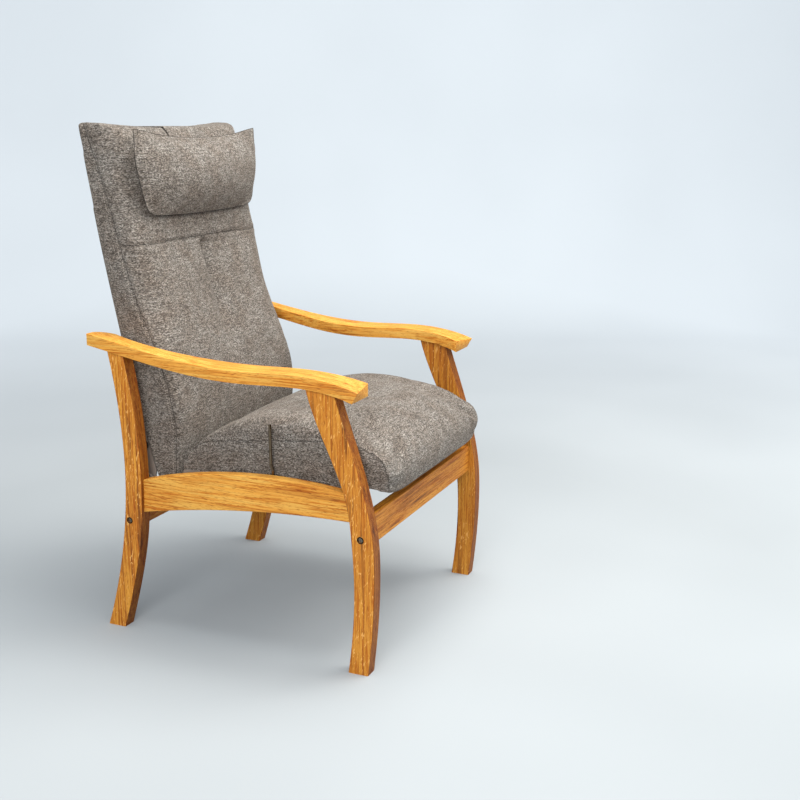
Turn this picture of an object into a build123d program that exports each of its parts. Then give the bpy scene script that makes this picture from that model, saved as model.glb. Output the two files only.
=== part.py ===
from build123d import *
from math import pi, radians, sqrt, tan
import os

# High-back reclining armchair with an oak frame, in millimetres.
# Z is up, the chair faces -Y, and the sitter's right hand is on the -X side.
# The origin is on the floor, under the middle of the chair.

os.makedirs("parts", exist_ok=True)

# Side frames: legs, rails and arms
frame_width = 650
leg_thickness = 33
front_line = -320
rear_line = 262
front_leg_height = 616
rear_leg_height = 660
leg_sweep = 100
leg_edge_radius = 2.5
side_rail_thickness = 23
side_rail_front_height = 57
side_rail_rear_height = 73
side_rail_front_bottom = 336.5
side_rail_drop = 55
side_rail_top_arch = 34
side_rail_bottom_arch = 17
side_rail_edge_chamfer = 1.5
arm_length = 664
arm_overhang = 10
arm_width = 79
arm_thickness = 26
arm_height = 642
arm_rise = 53
arm_nose_slant = 13
arm_nose_reach = 1
arm_corner = 22
arm_tail_radius_share = 0.62

# Rails across the chair and the frame's fastenings
front_rail_thickness = 24
front_rail_height = 65
front_rail_bottom = 285
rear_rail_thickness = 20
rear_rail_height = 55
rear_rail_bottom = 247
rail_edge_radius = 1.5
bolt_rise = 20
bolt_radius = 3
bolt_head_radius = 5.1
bolt_head_height = 3
bolt_recess_radius = 5.4
bolt_recess_depth = 5
bolt_length = 66
bolt_slot_width = 1.2
bolt_slot_length = 5.5
nut_radius = 5
nut_length = 16
nut_setback = 30
dowel_radius = 4
dowel_length = 40
dowel_pitch = 28
dowel_in_arm = 14
rail_dowel_rise = 18
rail_dowel_drop_share = 0.86
rail_dowel_pitch = 28
cross_dowel_rise = 45
hole_clearance = 0.05
hole_end_gap = 1

# Seat cushion, frame and springs
seat_half_width = 275
seat_bottom = 402
seat_top = 530
seat_depth = 532
seat_nose = -384.5
seat_nose_sag = 20
seat_side_drop = 24
seat_side_setback = 22
seat_frame_wall = 24
seat_frame_height = 40
seat_cover_wall = 8
seat_flap_drop = 26
seat_flap_thickness = 3.2
seat_pocket_front = 44
seat_pocket_rear = 44
spring_radius = 1.8
spring_swing = 20
spring_count = 5
spring_bends = 8
cloth_thickness = 1

# Back cushion, boards and webbing
back_half_width = 270
back_bottom = 356
back_height = 794
back_rear_bottom = 219
back_lean = 165.5
back_bulge = 17.5
back_depth = 132
back_corner_inset = 48
back_corner_shares = (0.2, 0.3)
back_lobe_crown = 4
back_channel = 9
back_ear_rise = 13
back_roll_height = 50
back_roll_depth = 64
back_roll_inset = 39
back_roll_shares = (0.7, 0.34)
back_groove = 7
back_groove_half = 22
back_groove_share = 0.667
back_groove_curve_shares = (0.3, 0.35)
back_cover_thickness = 3
pocket_bottom_depth = 34
pocket_top_depth = 20
pocket_side_wall = 12
pocket_height = 754
stile_width = 40
back_rail_height = 40
webbing_width = 60
webbing_thickness = 2
webbing_count = 6
soft_clearance = 0.4

# Recline pivot and its plates
pivot_ahead = 10.5
pivot_height = 432
pivot_radius = 6
pivot_head_radius = 8
pivot_head_height = 5
pivot_spacer_radius = 9.5
pivot_leg_depth = 20
hinge_plate_x = 262
hinge_plate_thickness = 4
hinge_flange_width = 34
hinge_flange_bottom = 374
hinge_flange_height = 104
hinge_corner = 13
hinge_screw_x = 240
hinge_screw_edge = 12
running_clearance = 0.06

# Seat follower: a pin on each hinge plate drives a slotted bar on the seat
follower_drop = 82
follower_back = 8
follower_pin_radius = 4
follower_bar_x = 276
follower_bar_thickness = 5
follower_bar_height = 20
follower_slot_play = 1
follower_slot_lift = 9
follower_slot_wall = 5
follower_bolt_setback = 14
follower_bolt_pitch = 26
follower_bolt_head_radius = 7
follower_bolt_head_height = 2.5

# Cross bars, guide blocks and seat runners
bar_depth = 30
bar_height = 20
bar_bottom = 345
front_bar_back = 113.5
rear_bar_back = 348.5
flange_width = 64
flange_height = 40
flange_thickness = 3
runner_x = 256
runner_width = 20
runner_height = 20
runner_length = 385
runner_back = 73.5
runner_clearance = 0.3
block_wall = 5
front_standoff_length = 20
rear_standoff_length = 56
screw_radius = 2.5
screw_head_radius = 4.5
screw_head_height = 2.5
screw_length = 18
screw_edge = 8
hinge_screw_length = 22

# Gas spring under the seat
gas_drop = 107
gas_reach = 224
gas_radius = 12
gas_wall = 2
gas_length = 140
gas_end_gap = 14
gas_rod_radius = 5
gas_rod_length = 100
gas_piston_length = 8
gas_pin_radius = 4
gas_pin_length = 36
gas_eye_radius = 10
gas_eye_width = 14
gas_eye_play = 1.8
gas_fork_gap = 24
gas_fork_plate = 4
gas_foot_thickness = 3
gas_foot_width = 60
head_length = 14
head_height = 22

# Release lever, its wire and its cable
lever_back = 225.5
lever_over_bar = 29
lever_plane = 287
lever_radius = 3.3
lever_hub_radius = 9
lever_hub_width = 8
lever_kink = 5
lever_kink_rise = 46
lever_kink_length = 13
lever_rise = 147
lever_tip_length = 9
lever_tip_width = 4
lever_arm_drop = 22
lever_arm_width = 10
lever_arm_thickness = 3
lever_slot_play = 1.2
nipple_gap = 0.8
lever_screw_head = 6
wire_radius = 0.8
nipple_radius = 2.5
nipple_length = 5
stop_back = 272
stop_length = 10
stop_height = 16
cable_radius = 2.5
cable_bend_share = 0.45

# Neck pillow, its strap and its counterweight
pillow_half_width = 259
pillow_bottom = 940
pillow_height = 200
pillow_front = 241.5
pillow_lean = 8
pillow_thickness = 62
pillow_end_trim = 4
strap_width = 130
strap_thickness = 2
strap_front_end = 1000
strap_rear_end = 895
strap_gap = 0.8
strap_front_gap = 2.2
strap_crest_shares = (0.38, 0.16)
strap_turn_shares = (0.8, 0.6)
weight_width = 210
weight_bottom = 790
weight_height = 120
weight_thickness = 20
weight_corner = 6
weight_slot_depth = 2
weight_top_gap = 0.3
weight_bottom_gap = 2

overrun = 5

# Places that several pieces share
outer_x = frame_width / 2
inner_x = outer_x - leg_thickness
side_rail_x = inner_x + side_rail_thickness / 2
arm_nose = front_line - arm_nose_reach
pivot_y = rear_line - pivot_ahead
follower_y = pivot_y - follower_back
follower_z = pivot_height - follower_drop
gas_rear_y = pivot_y - follower_back / 2
gas_front_y = gas_rear_y - gas_reach
gas_z = pivot_height - gas_drop
front_bar_y = front_line + front_bar_back
rear_bar_y = front_line + rear_bar_back
runner_bottom = bar_bottom + bar_height + block_wall + runner_clearance
runner_front = front_line + runner_back
runner_rear = runner_front + runner_length
lever_y = front_line + lever_back
lever_height = bar_bottom + lever_over_bar
wire_z = lever_height - lever_arm_drop
stop_y = front_line + stop_back
pocket_half_width = back_half_width - pocket_side_wall


def save(piece, label):
    piece.part.label = label
    export_step(piece.part, "parts/" + label + ".step")


def mirrored(piece):
    """The same piece for the other side of the chair."""
    with BuildPart() as other:
        mirror(piece.part, about=Plane.YZ)
    return other


def save_pair(piece, name):
    save(piece, name + "_right")
    save(mirrored(piece), name + "_left")


def between(table, share, column):
    """Reads a column of a table of shares, straight between its rows."""
    for low, high in zip(table, table[1:]):
        if low[0] <= share <= high[0]:
            along = (share - low[0]) / (high[0] - low[0])
            return low[column] + along * (high[column] - low[column])
    return table[0][column] if share < table[0][0] else table[-1][column]


def bar_along(axis, start, end, first, second, radius):
    """A round bar from start to end along X, Y or Z, at two places across it."""
    middle = (start + end) / 2
    places = {
        "X": ((middle, first, second), (0, 90, 0)),
        "Y": ((first, middle, second), (90, 0, 0)),
        "Z": ((first, second, middle), (0, 0, 0)),
    }
    place, turn = places[axis]
    return Location(place, turn) * Cylinder(radius, abs(end - start), mode=Mode.PRIVATE)


def block(x_span, y_span, z_span):
    """A rectangular block given by its spans."""
    spans = (x_span, y_span, z_span)
    size = [abs(high - low) for low, high in spans]
    middle = [(low + high) / 2 for low, high in spans]
    return Location(middle) * Box(*size, mode=Mode.PRIVATE)


# Arms

# Each row: place along the arm from its nose, height over the low stretch as a share of the rise
arm_top_shares = ((0, -0.42), (0.09, -0.11), (0.22, 0.05), (0.41, 0.0), (0.6, 0.13), (0.79, 0.5), (1, 1.0))
# Each row: place along the arm, width from the outer edge as a share of the arm's width
arm_width_shares = ((0.02, 1.0), (0.12, 0.87), (0.4, 0.925), (0.58, 0.83), (0.7, 0.67), (0.94, 0.68))


def arm_top(y):
    return arm_height + arm_rise * between(arm_top_shares, (y - arm_nose) / arm_length, 1)


def arm_line(drop):
    """Points of the arm's top line, lowered by drop, in the side view."""
    low = arm_height - drop
    return [(arm_nose + along * arm_length, low + rise * arm_rise) for along, rise in arm_top_shares]


def arm_underside():
    """The arm's lower line, which starts behind the top one so that the nose slants."""
    first, *others = arm_line(arm_thickness)
    return [(first[0] + arm_nose_slant, first[1] + arm_nose_slant / 4), *others]


def make_arm(dowel_places):
    top = arm_line(0)
    underside = arm_underside()
    edge_x = -(outer_x + arm_overhang)
    arm_end = arm_nose + arm_length
    inner = [(edge_x + wide * arm_width, arm_nose + along * arm_length) for along, wide in arm_width_shares]
    nose_inner = (inner[0][0], inner[0][1])
    tail = (edge_x + arm_corner, arm_end)
    with BuildPart() as arm:
        with BuildSketch(Plane.YZ.offset(edge_x)):
            with BuildLine():
                Spline(*top)
                Line(top[-1], underside[-1])
                Spline(*reversed(underside))
                Line(underside[0], top[0])
            make_face()
        extrude(amount=arm_width)
        with BuildSketch():
            with BuildLine():
                Line((edge_x, arm_nose), (edge_x, arm_end))
                Line((edge_x, arm_end), tail)
                RadiusArc(tail, inner[-1], arm_width * arm_tail_radius_share)
                Spline(*reversed(inner))
                Line(nose_inner, (edge_x, arm_nose))
            make_face()
        extrude(amount=arm_height + arm_rise + overrun, mode=Mode.INTERSECT)
        for x, y in dowel_places:
            top_end = arm_top(y) - arm_thickness + dowel_in_arm + hole_end_gap
            hole = bar_along("Z", top_end - dowel_length, top_end, x, y, dowel_radius + hole_clearance)
            add(hole, mode=Mode.SUBTRACT)
    return arm


# Legs

# Each row: height, front edge and rear edge from the leg's line, as shares of height and sweep
front_leg_shares = (
    (0, -0.155, 0.315),
    (0.16, -0.26, 0.2),
    (0.34, -0.315, 0.165),
    (0.5, -0.275, 0.225),
    (0.6, -0.165, 0.305),
    (0.75, 0.085, 0.625),
    (1.06, 0.7, 1.31),
)
rear_leg_shares = (
    (0, 0.295, 0.765),
    (0.17, -0.03, 0.43),
    (0.365, -0.295, 0.175),
    (0.585, -0.365, 0.065),
    (0.795, -0.275, 0.145),
    (1.05, 0.04, 0.44),
)


def leg_edge(shares, height, line, z, column):
    return line + leg_sweep * between(shares, z / height, column)


def leg_dowels(shares, height, line):
    """Where the two dowels stand in a leg's top, as x and y."""
    middle = (leg_edge(shares, height, line, height, 1) + leg_edge(shares, height, line, height, 2)) / 2
    x = -(outer_x - leg_thickness / 2)
    return [(x, middle - dowel_pitch / 2), (x, middle + dowel_pitch / 2)]


def leg_outline(shares, height, line, x_span):
    """A leg's curved outline as a solid, with its top shaped to the arm's underside."""
    front = [(line + row[1] * leg_sweep, row[0] * height) for row in shares]
    rear = [(line + row[2] * leg_sweep, row[0] * height) for row in shares]
    underside = arm_underside()
    ceiling = arm_height + 2 * arm_rise
    with BuildPart() as leg:
        with BuildSketch(Plane.YZ.offset(x_span[0])):
            with BuildLine():
                Spline(*front)
                Line(front[-1], rear[-1])
                Spline(*reversed(rear))
                Line(rear[0], front[0])
            make_face()
            with BuildLine():
                Spline(*underside)
                Line(underside[-1], (underside[-1][0], ceiling))
                Line((underside[-1][0], ceiling), (underside[0][0], ceiling))
                Line((underside[0][0], ceiling), underside[0])
            make_face(mode=Mode.SUBTRACT)
        extrude(amount=x_span[1] - x_span[0])
    return leg


def make_leg_blank(shares, height, line):
    """A leg with its long edges rounded, before its holes."""
    with BuildPart() as leg:
        add(leg_outline(shares, height, line, (-outer_x, -inner_x)).part)
        long_edges = leg.edges().sort_by(SortBy.LENGTH)[-4:]
        fillet(long_edges, leg_edge_radius)
    return leg


def make_leg(blank, shares, height, line, rail_bottom, bolt_z, rail_dowel_z, at_front):
    """A leg with its bolt hole and recess, and the holes for its dowels."""
    hole = bolt_radius + hole_clearance
    dowel_hole = dowel_radius + hole_clearance
    outside = -outer_x - overrun
    recess_floor = -(outer_x - bolt_recess_depth)
    column = 2 if at_front else 1
    inward = -1 if at_front else 1
    with BuildPart() as leg:
        add(blank.part)
        add(bar_along("X", outside, -inner_x + overrun, line, bolt_z, hole), mode=Mode.SUBTRACT)
        add(bar_along("X", outside, recess_floor, line, bolt_z, bolt_recess_radius), mode=Mode.SUBTRACT)
        cross_z = rail_bottom + cross_dowel_rise
        cross_end = -(inner_x + dowel_length / 2 + hole_end_gap)
        add(bar_along("X", cross_end, -inner_x + overrun, line, cross_z, dowel_hole), mode=Mode.SUBTRACT)
        for z in rail_dowel_z:
            face = leg_edge(shares, height, line, z, column)
            hole_end = face + inward * (dowel_length / 2 + hole_end_gap)
            hole = bar_along("Y", hole_end, face - inward * overrun, -side_rail_x, z, dowel_hole)
            add(hole, mode=Mode.SUBTRACT)
        for x, y in leg_dowels(shares, height, line):
            low_end = arm_top(y) - arm_thickness + dowel_in_arm - dowel_length - hole_end_gap
            hole = bar_along("Z", low_end, low_end + dowel_length + overrun, x, y, dowel_hole)
            add(hole, mode=Mode.SUBTRACT)
        if not at_front:
            pin_end = -(inner_x + pivot_leg_depth + hole_end_gap)
            pin_hole = pivot_radius + hole_clearance
            hole = bar_along("X", pin_end, -inner_x + overrun, pivot_y, pivot_height, pin_hole)
            add(hole, mode=Mode.SUBTRACT)
    return leg


# Side rails

front_dowel_z = [side_rail_front_bottom + rail_dowel_rise + step * rail_dowel_pitch for step in (0, 1)]
rear_dowel_z = [z - side_rail_drop * rail_dowel_drop_share for z in front_dowel_z]


def make_side_rail():
    """The arched rail between the legs, with the holes for what is screwed and dowelled to it."""
    rear_bottom = side_rail_front_bottom - side_rail_drop
    front_top = side_rail_front_bottom + side_rail_front_height
    rear_top = rear_bottom + side_rail_rear_height
    middle = (front_line + rear_line) / 2
    crest = (front_top + rear_top) / 2 + side_rail_top_arch
    hollow = (side_rail_front_bottom + rear_bottom) / 2 + side_rail_bottom_arch
    front_corner = (front_line, side_rail_front_bottom)
    with BuildPart() as rail:
        with BuildSketch(Plane.YZ.offset(-inner_x - side_rail_thickness)):
            with BuildLine():
                ThreePointArc((front_line, front_top), (middle, crest), (rear_line, rear_top))
                Line((rear_line, rear_top), (rear_line, rear_bottom))
                ThreePointArc((rear_line, rear_bottom), (middle, hollow), front_corner)
                Line(front_corner, (front_line, front_top))
            make_face()
        extrude(amount=side_rail_thickness)
        long_edges = rail.edges().sort_by(SortBy.LENGTH)[-4:]
        chamfer(long_edges, side_rail_edge_chamfer)
        leg_span = (-outer_x - overrun, -inner_x + overrun)
        add(leg_outline(front_leg_shares, front_leg_height, front_line, leg_span).part, mode=Mode.SUBTRACT)
        add(leg_outline(rear_leg_shares, rear_leg_height, rear_line, leg_span).part, mode=Mode.SUBTRACT)
        dowel_hole = dowel_radius + hole_clearance
        for z in front_dowel_z:
            face = leg_edge(front_leg_shares, front_leg_height, front_line, z, 2)
            hole_end = face + dowel_length / 2 + hole_end_gap
            add(bar_along("Y", face - overrun, hole_end, -side_rail_x, z, dowel_hole), mode=Mode.SUBTRACT)
        for z in rear_dowel_z:
            face = leg_edge(rear_leg_shares, rear_leg_height, rear_line, z, 1)
            hole_end = face - dowel_length / 2 - hole_end_gap
            add(bar_along("Y", hole_end, face + overrun, -side_rail_x, z, dowel_hole), mode=Mode.SUBTRACT)
        for y, z in flange_screw_places():
            add(screw_shank(y, z, hole_clearance), mode=Mode.SUBTRACT)
        add(lever_screw_shank(hole_clearance), mode=Mode.SUBTRACT)
    return rail


# Rails across the chair

def make_cross_rail(line, thickness, bottom, height):
    """A straight rail with a bolt, a barrel nut and a dowel at each end."""
    bolt_z = bottom + bolt_rise
    dowel_z = bottom + cross_dowel_rise
    bolt_end = outer_x - bolt_recess_depth - bolt_length - hole_end_gap
    with BuildPart() as rail:
        y_span = (line - thickness / 2, line + thickness / 2)
        add(block((-inner_x, inner_x), y_span, (bottom, bottom + height)))
        fillet(rail.edges().filter_by(Axis.X), rail_edge_radius)
        for side in (-1, 1):
            end = side * (inner_x + overrun)
            nut_x = side * (inner_x - nut_setback)
            dowel_end = side * (inner_x - dowel_length / 2 - hole_end_gap)
            nut_front = line - nut_length / 2 - hole_clearance
            bolt_hole = bar_along("X", side * bolt_end, end, line, bolt_z, bolt_radius + hole_clearance)
            dowel_hole = bar_along("X", dowel_end, end, line, dowel_z, dowel_radius + hole_clearance)
            add([bolt_hole, dowel_hole], mode=Mode.SUBTRACT)
            nut_hole = nut_radius + hole_clearance
            add(bar_along("Y", nut_front, line + thickness, nut_x, bolt_z, nut_hole), mode=Mode.SUBTRACT)
    return rail


bolt_places = [
    (side, line, bottom + bolt_rise)
    for side in (-1, 1)
    for line, bottom in ((front_line, front_rail_bottom), (rear_line, rear_rail_bottom))
]


def make_frame_bolts():
    """Bolts with a cross slot in the head, one through each leg."""
    with BuildPart() as bolts:
        for side, y, z in bolt_places:
            floor = side * (outer_x - bolt_recess_depth)
            face = floor + side * bolt_head_height
            slot_floor = face - side * bolt_slot_width
            add(bar_along("X", floor - side * bolt_length, floor, y, z, bolt_radius))
            add(bar_along("X", floor, face, y, z, bolt_head_radius))
            for wide, tall in ((bolt_slot_width, bolt_slot_length), (bolt_slot_length, bolt_slot_width)):
                spans = ((y - wide / 2, y + wide / 2), (z - tall / 2, z + tall / 2))
                add(block((slot_floor, face + side * overrun), *spans), mode=Mode.SUBTRACT)
    return bolts


def make_barrel_nuts():
    with BuildPart() as nuts:
        for side, y, z in bolt_places:
            nut_x = side * (inner_x - nut_setback)
            add(bar_along("Y", y - nut_length / 2, y + nut_length / 2, nut_x, z, nut_radius))
            reach = nut_radius + overrun
            hole = bar_along("X", nut_x - reach, nut_x + reach, y, z, bolt_radius + hole_clearance)
            add(hole, mode=Mode.SUBTRACT)
    return nuts


def make_arm_dowels(dowel_places):
    with BuildPart() as dowels:
        for x, y in dowel_places:
            top_end = arm_top(y) - arm_thickness + dowel_in_arm
            for side in (-1, 1):
                add(bar_along("Z", top_end - dowel_length, top_end, side * x, y, dowel_radius))
    return dowels


def make_rail_dowels():
    """Dowels between the side rails and the legs, and between the legs and the cross rails."""
    joints = [(leg_edge(front_leg_shares, front_leg_height, front_line, z, 2), z) for z in front_dowel_z]
    joints += [(leg_edge(rear_leg_shares, rear_leg_height, rear_line, z, 1), z) for z in rear_dowel_z]
    half = dowel_length / 2
    with BuildPart() as dowels:
        for side in (-1, 1):
            for face, z in joints:
                add(bar_along("Y", face - half, face + half, side * side_rail_x, z, dowel_radius))
            for line, bottom in ((front_line, front_rail_bottom), (rear_line, rear_rail_bottom)):
                start, end = side * (inner_x - half), side * (inner_x + half)
                add(bar_along("X", start, end, line, bottom + cross_dowel_rise, dowel_radius))
    return dowels


# Cross bars with welded end flanges, and what sits on them

flange_bottom = bar_bottom - flange_thickness


def flange_screw_places():
    reach = flange_width / 2 - screw_edge
    z = flange_bottom + flange_height - screw_edge
    return [(bar_y + step * reach, z) for bar_y in (front_bar_y, rear_bar_y) for step in (-1, 1)]


def screw_shank(y, z, clearance):
    """The shank of a flange screw on the right-hand side, which starts under its head."""
    head = -(inner_x - flange_thickness)
    return bar_along("X", head - screw_length - clearance, head, y, z, screw_radius + clearance)


def make_cross_bar(bar_y):
    flange_y = (bar_y - flange_width / 2, bar_y + flange_width / 2)
    flange_spans = (flange_y, (flange_bottom, flange_bottom + flange_height))
    with BuildPart() as bar:
        bar_spans = ((bar_y - bar_depth / 2, bar_y + bar_depth / 2), (bar_bottom, bar_bottom + bar_height))
        add(block((-inner_x + flange_thickness, inner_x - flange_thickness), *bar_spans))
        for side in (-1, 1):
            add(block((side * (inner_x - flange_thickness), side * inner_x), *flange_spans))
            for y, z in flange_screw_places():
                hole = screw_radius + hole_clearance
                start, end = side * (inner_x - flange_thickness - overrun), side * (inner_x + overrun)
                add(bar_along("X", start, end, y, z, hole), mode=Mode.SUBTRACT)
    return bar


def make_flange_screws():
    with BuildPart() as screws:
        for y, z in flange_screw_places():
            head = inner_x - flange_thickness
            for side in (-1, 1):
                add(bar_along("X", side * head, side * (head - screw_head_height), y, z, screw_head_radius))
                add(bar_along("X", side * head, side * (head + screw_length), y, z, screw_radius))
    return screws


def make_guide_blocks():
    """Blocks on the cross bars, each with a window that a seat runner slides in."""
    half = runner_width / 2 + runner_clearance
    window_top = runner_bottom + runner_height + runner_clearance
    with BuildPart() as blocks:
        for bar_y in (front_bar_y, rear_bar_y):
            y_span = (bar_y - bar_depth / 2, bar_y + bar_depth / 2)
            for side in (-1, 1):
                x = side * runner_x
                x_span = (x - half - block_wall, x + half + block_wall)
                add(block(x_span, y_span, (bar_bottom + bar_height, window_top + block_wall)))
                window = ((x - half, x + half), (y_span[0] - overrun, y_span[1] + overrun))
                add(block(*window, (runner_bottom - runner_clearance, window_top)), mode=Mode.SUBTRACT)
    return blocks


# Seat runners and the bars that the back drives

runner_top = runner_bottom + runner_height
follower_bolt_places = [runner_rear - follower_bolt_setback - step * follower_bolt_pitch for step in (0, 1)]


def make_runner():
    """A runner under the seat frame, with a block at each end that holds it off the frame."""
    x_span = (-runner_x - runner_width / 2, -runner_x + runner_width / 2)
    with BuildPart() as runner:
        add(block(x_span, (runner_front, runner_rear), (runner_bottom, runner_top)))
        add(block(x_span, (runner_front, runner_front + front_standoff_length), (runner_top, seat_bottom)))
        add(block(x_span, (runner_rear - rear_standoff_length, runner_rear), (runner_top, seat_bottom)))
        for y in follower_bolt_places:
            hole = follower_pin_radius + hole_clearance
            middle = (runner_bottom + runner_top) / 2
            add(bar_along("X", x_span[0] - overrun, -runner_x, y, middle, hole), mode=Mode.SUBTRACT)
    return runner


def make_follower_bar():
    """A flat bar beside the back, with an upright slot for the pin on the hinge plate."""
    half = follower_bar_height / 2
    slot_half = follower_pin_radius + follower_slot_play
    boss_half = slot_half + follower_slot_wall
    boss_top = follower_z + slot_half + follower_slot_lift + follower_slot_wall
    root_front = runner_rear - rear_standoff_length
    with BuildPart() as bar:
        with BuildSketch(Plane.YZ.offset(-follower_bar_x - follower_bar_thickness)):
            with BuildLine():
                Polyline(
                    (root_front, follower_z - half),
                    (follower_y + boss_half, follower_z - half),
                    (follower_y + boss_half, boss_top),
                    (follower_y - boss_half, boss_top),
                    (follower_y - boss_half - half, follower_z + half),
                    (runner_rear + half, follower_z + half),
                    (runner_rear, runner_top),
                    (root_front, runner_top),
                    close=True,
                )
            make_face()
            slot_middle = follower_z + follower_slot_lift / 2
            with Locations((follower_y, slot_middle)):
                SlotCenterToCenter(follower_slot_lift, 2 * slot_half, rotation=90, mode=Mode.SUBTRACT)
            with Locations(*[(y, (runner_bottom + runner_top) / 2) for y in follower_bolt_places]):
                Circle(follower_pin_radius + hole_clearance, mode=Mode.SUBTRACT)
        extrude(amount=follower_bar_thickness)
    return bar


def make_follower_bolts():
    """Bolts that hold each follower bar to its runner, with a collar between the two."""
    z = (runner_bottom + runner_top) / 2
    runner_side = runner_x + runner_width / 2
    bar_side = follower_bar_x + follower_bar_thickness
    with BuildPart() as bolts:
        for y in follower_bolt_places:
            for side in (-1, 1):
                shank_start = side * (runner_x + screw_radius)
                head_end = side * (bar_side + follower_bolt_head_height)
                wide = follower_bolt_head_radius
                add(bar_along("X", shank_start, side * bar_side, y, z, follower_pin_radius))
                add(bar_along("X", side * runner_side, side * follower_bar_x, y, z, wide))
                add(bar_along("X", side * bar_side, head_end, y, z, wide))
    return bolts


# Seat

# Each row: distance from the middle as a share of half the width, and how far the outline
# drops at the top, sets back at the nose and sags under the nose, as shares of their sizes
seat_section_shares = (
    (-1.0, 1.0, 1.0, 0.05),
    (-0.955, 0.3, 0.55, 0.45),
    (-0.8, 0.02, 0.2, 1.0),
    (-0.4, -0.03, 0.03, 1.0),
    (0.0, -0.05, 0.0, 1.0),
    (0.4, -0.03, 0.03, 1.0),
    (0.8, 0.02, 0.2, 1.0),
    (0.955, 0.3, 0.55, 0.45),
    (1.0, 1.0, 1.0, 0.05),
)
# Points of the seat's side outline: place from nose to rear and height from bottom to top
seat_outline_shares = (
    (0.052, 0.0),
    (0.0, 0.26),
    (0.075, 0.66),
    (0.165, 0.86),
    (0.32, 0.975),
    (0.56, 1.0),
    (0.75, 0.875),
    (0.905, 0.58),
    (0.975, 0.3),
    (1.0, 0.0),
)


def seat_section(row):
    """The seat's side outline at one place across it."""
    place, drop, setback, sag = row
    front = seat_nose + setback * seat_side_setback
    top = seat_top - drop * seat_side_drop
    low = seat_bottom - sag * seat_nose_sag
    rear = seat_nose + seat_depth
    points = []
    for index, (along, rise) in enumerate(seat_outline_shares):
        base = low if index == 0 else seat_bottom
        points.append((front + along * (rear - front), base + rise * (top - base)))
    heel = (front + seat_pocket_front + seat_nose_sag, seat_bottom)
    with BuildSketch(Plane.YZ.offset(place * seat_half_width)) as section:
        with BuildLine():
            ThreePointArc(points[0], points[1], points[2])
            ThreePointArc(points[2], points[3], points[4])
            ThreePointArc(points[4], points[5], points[6])
            ThreePointArc(points[6], points[7], points[8])
            Line(points[8], points[9])
            Line(points[9], heel)
            Line(heel, points[0])
        make_face()
    return section.sketch


pocket_x = seat_half_width - seat_cover_wall
seat_pocket_y = (seat_nose + seat_pocket_front, seat_nose + seat_depth - seat_pocket_rear)
seat_pocket_top = seat_bottom + seat_frame_height + 2 * spring_radius + 2 * soft_clearance


def make_seat_cushion():
    """The padded seat, hollow underneath, with its cover pulled down over the runners at both sides."""
    sections = [seat_section(row) for row in seat_section_shares]
    flap_front = seat_nose + seat_side_setback + seat_pocket_front + seat_nose_sag
    flap_y = (flap_front, seat_nose + seat_depth)
    flap_z = (seat_bottom - seat_flap_drop, seat_bottom)
    bolt_z = (runner_bottom + runner_top) / 2
    bolt_hole = follower_bolt_head_radius + soft_clearance
    with BuildPart() as cushion:
        loft(sections)
        add(block((-pocket_x, pocket_x), seat_pocket_y, (0, seat_pocket_top)), mode=Mode.SUBTRACT)
        for side in (-1, 1):
            outside = side * seat_half_width
            inside = side * (seat_half_width - seat_flap_thickness)
            add(block((inside, outside), flap_y, flap_z))
            for y in follower_bolt_places:
                hole = bar_along("X", inside - side * overrun, outside + side * overrun, y, bolt_z, bolt_hole)
                add(hole, mode=Mode.SUBTRACT)
    return cushion


seat_frame_x = pocket_x - soft_clearance
seat_frame_y = (seat_pocket_y[0] + soft_clearance, seat_pocket_y[1] - soft_clearance)
seat_frame_z = (seat_bottom, seat_bottom + seat_frame_height)


def make_seat_side():
    with BuildPart() as member:
        add(block((-seat_frame_x, -seat_frame_x + seat_frame_wall), seat_frame_y, seat_frame_z))
    return member


def make_seat_end(front):
    inner = seat_frame_x - seat_frame_wall
    start = seat_frame_y[0] if front else seat_frame_y[1] - seat_frame_wall
    with BuildPart() as member:
        add(block((-inner, inner), (start, start + seat_frame_wall), seat_frame_z))
    return member


def make_seat_springs():
    """Zigzag springs from the front member to the rear member."""
    span = seat_frame_y[1] - seat_frame_y[0]
    pitch = span / (2 * spring_bends)
    z = seat_frame_z[1] + spring_radius
    gap = 2 * (seat_frame_x - seat_frame_wall) / spring_count
    with BuildPart() as springs:
        for index in range(spring_count):
            middle = (index + 0.5 - spring_count / 2) * gap
            y = seat_frame_y[0] + pitch / 2
            with BuildLine() as path:
                for bend in range(2 * spring_bends - 1):
                    side = 1 if bend % 2 else -1
                    start, end = (middle - side * spring_swing, y), (middle + side * spring_swing, y)
                    Line((*start, z), (*end, z))
                    if bend < 2 * spring_bends - 2:
                        crest = (end[0] + side * pitch / 2, y + pitch / 2)
                        ThreePointArc((*end, z), (*crest, z), (end[0], y + pitch, z))
                    y += pitch
            with BuildSketch(Plane(origin=path.line @ 0, z_dir=path.line % 0)):
                Circle(spring_radius)
            sweep(path=path.line)
    return springs


def make_bottom_cloth():
    """Dust cloth under the seat frame, between the runners."""
    half = runner_x - runner_width / 2 - soft_clearance
    y_span = (runner_front, seat_frame_y[1] - seat_frame_wall / 2)
    with BuildPart() as cloth:
        add(block((-half, half), y_span, (seat_bottom - cloth_thickness, seat_bottom)))
    return cloth


# Back

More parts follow.
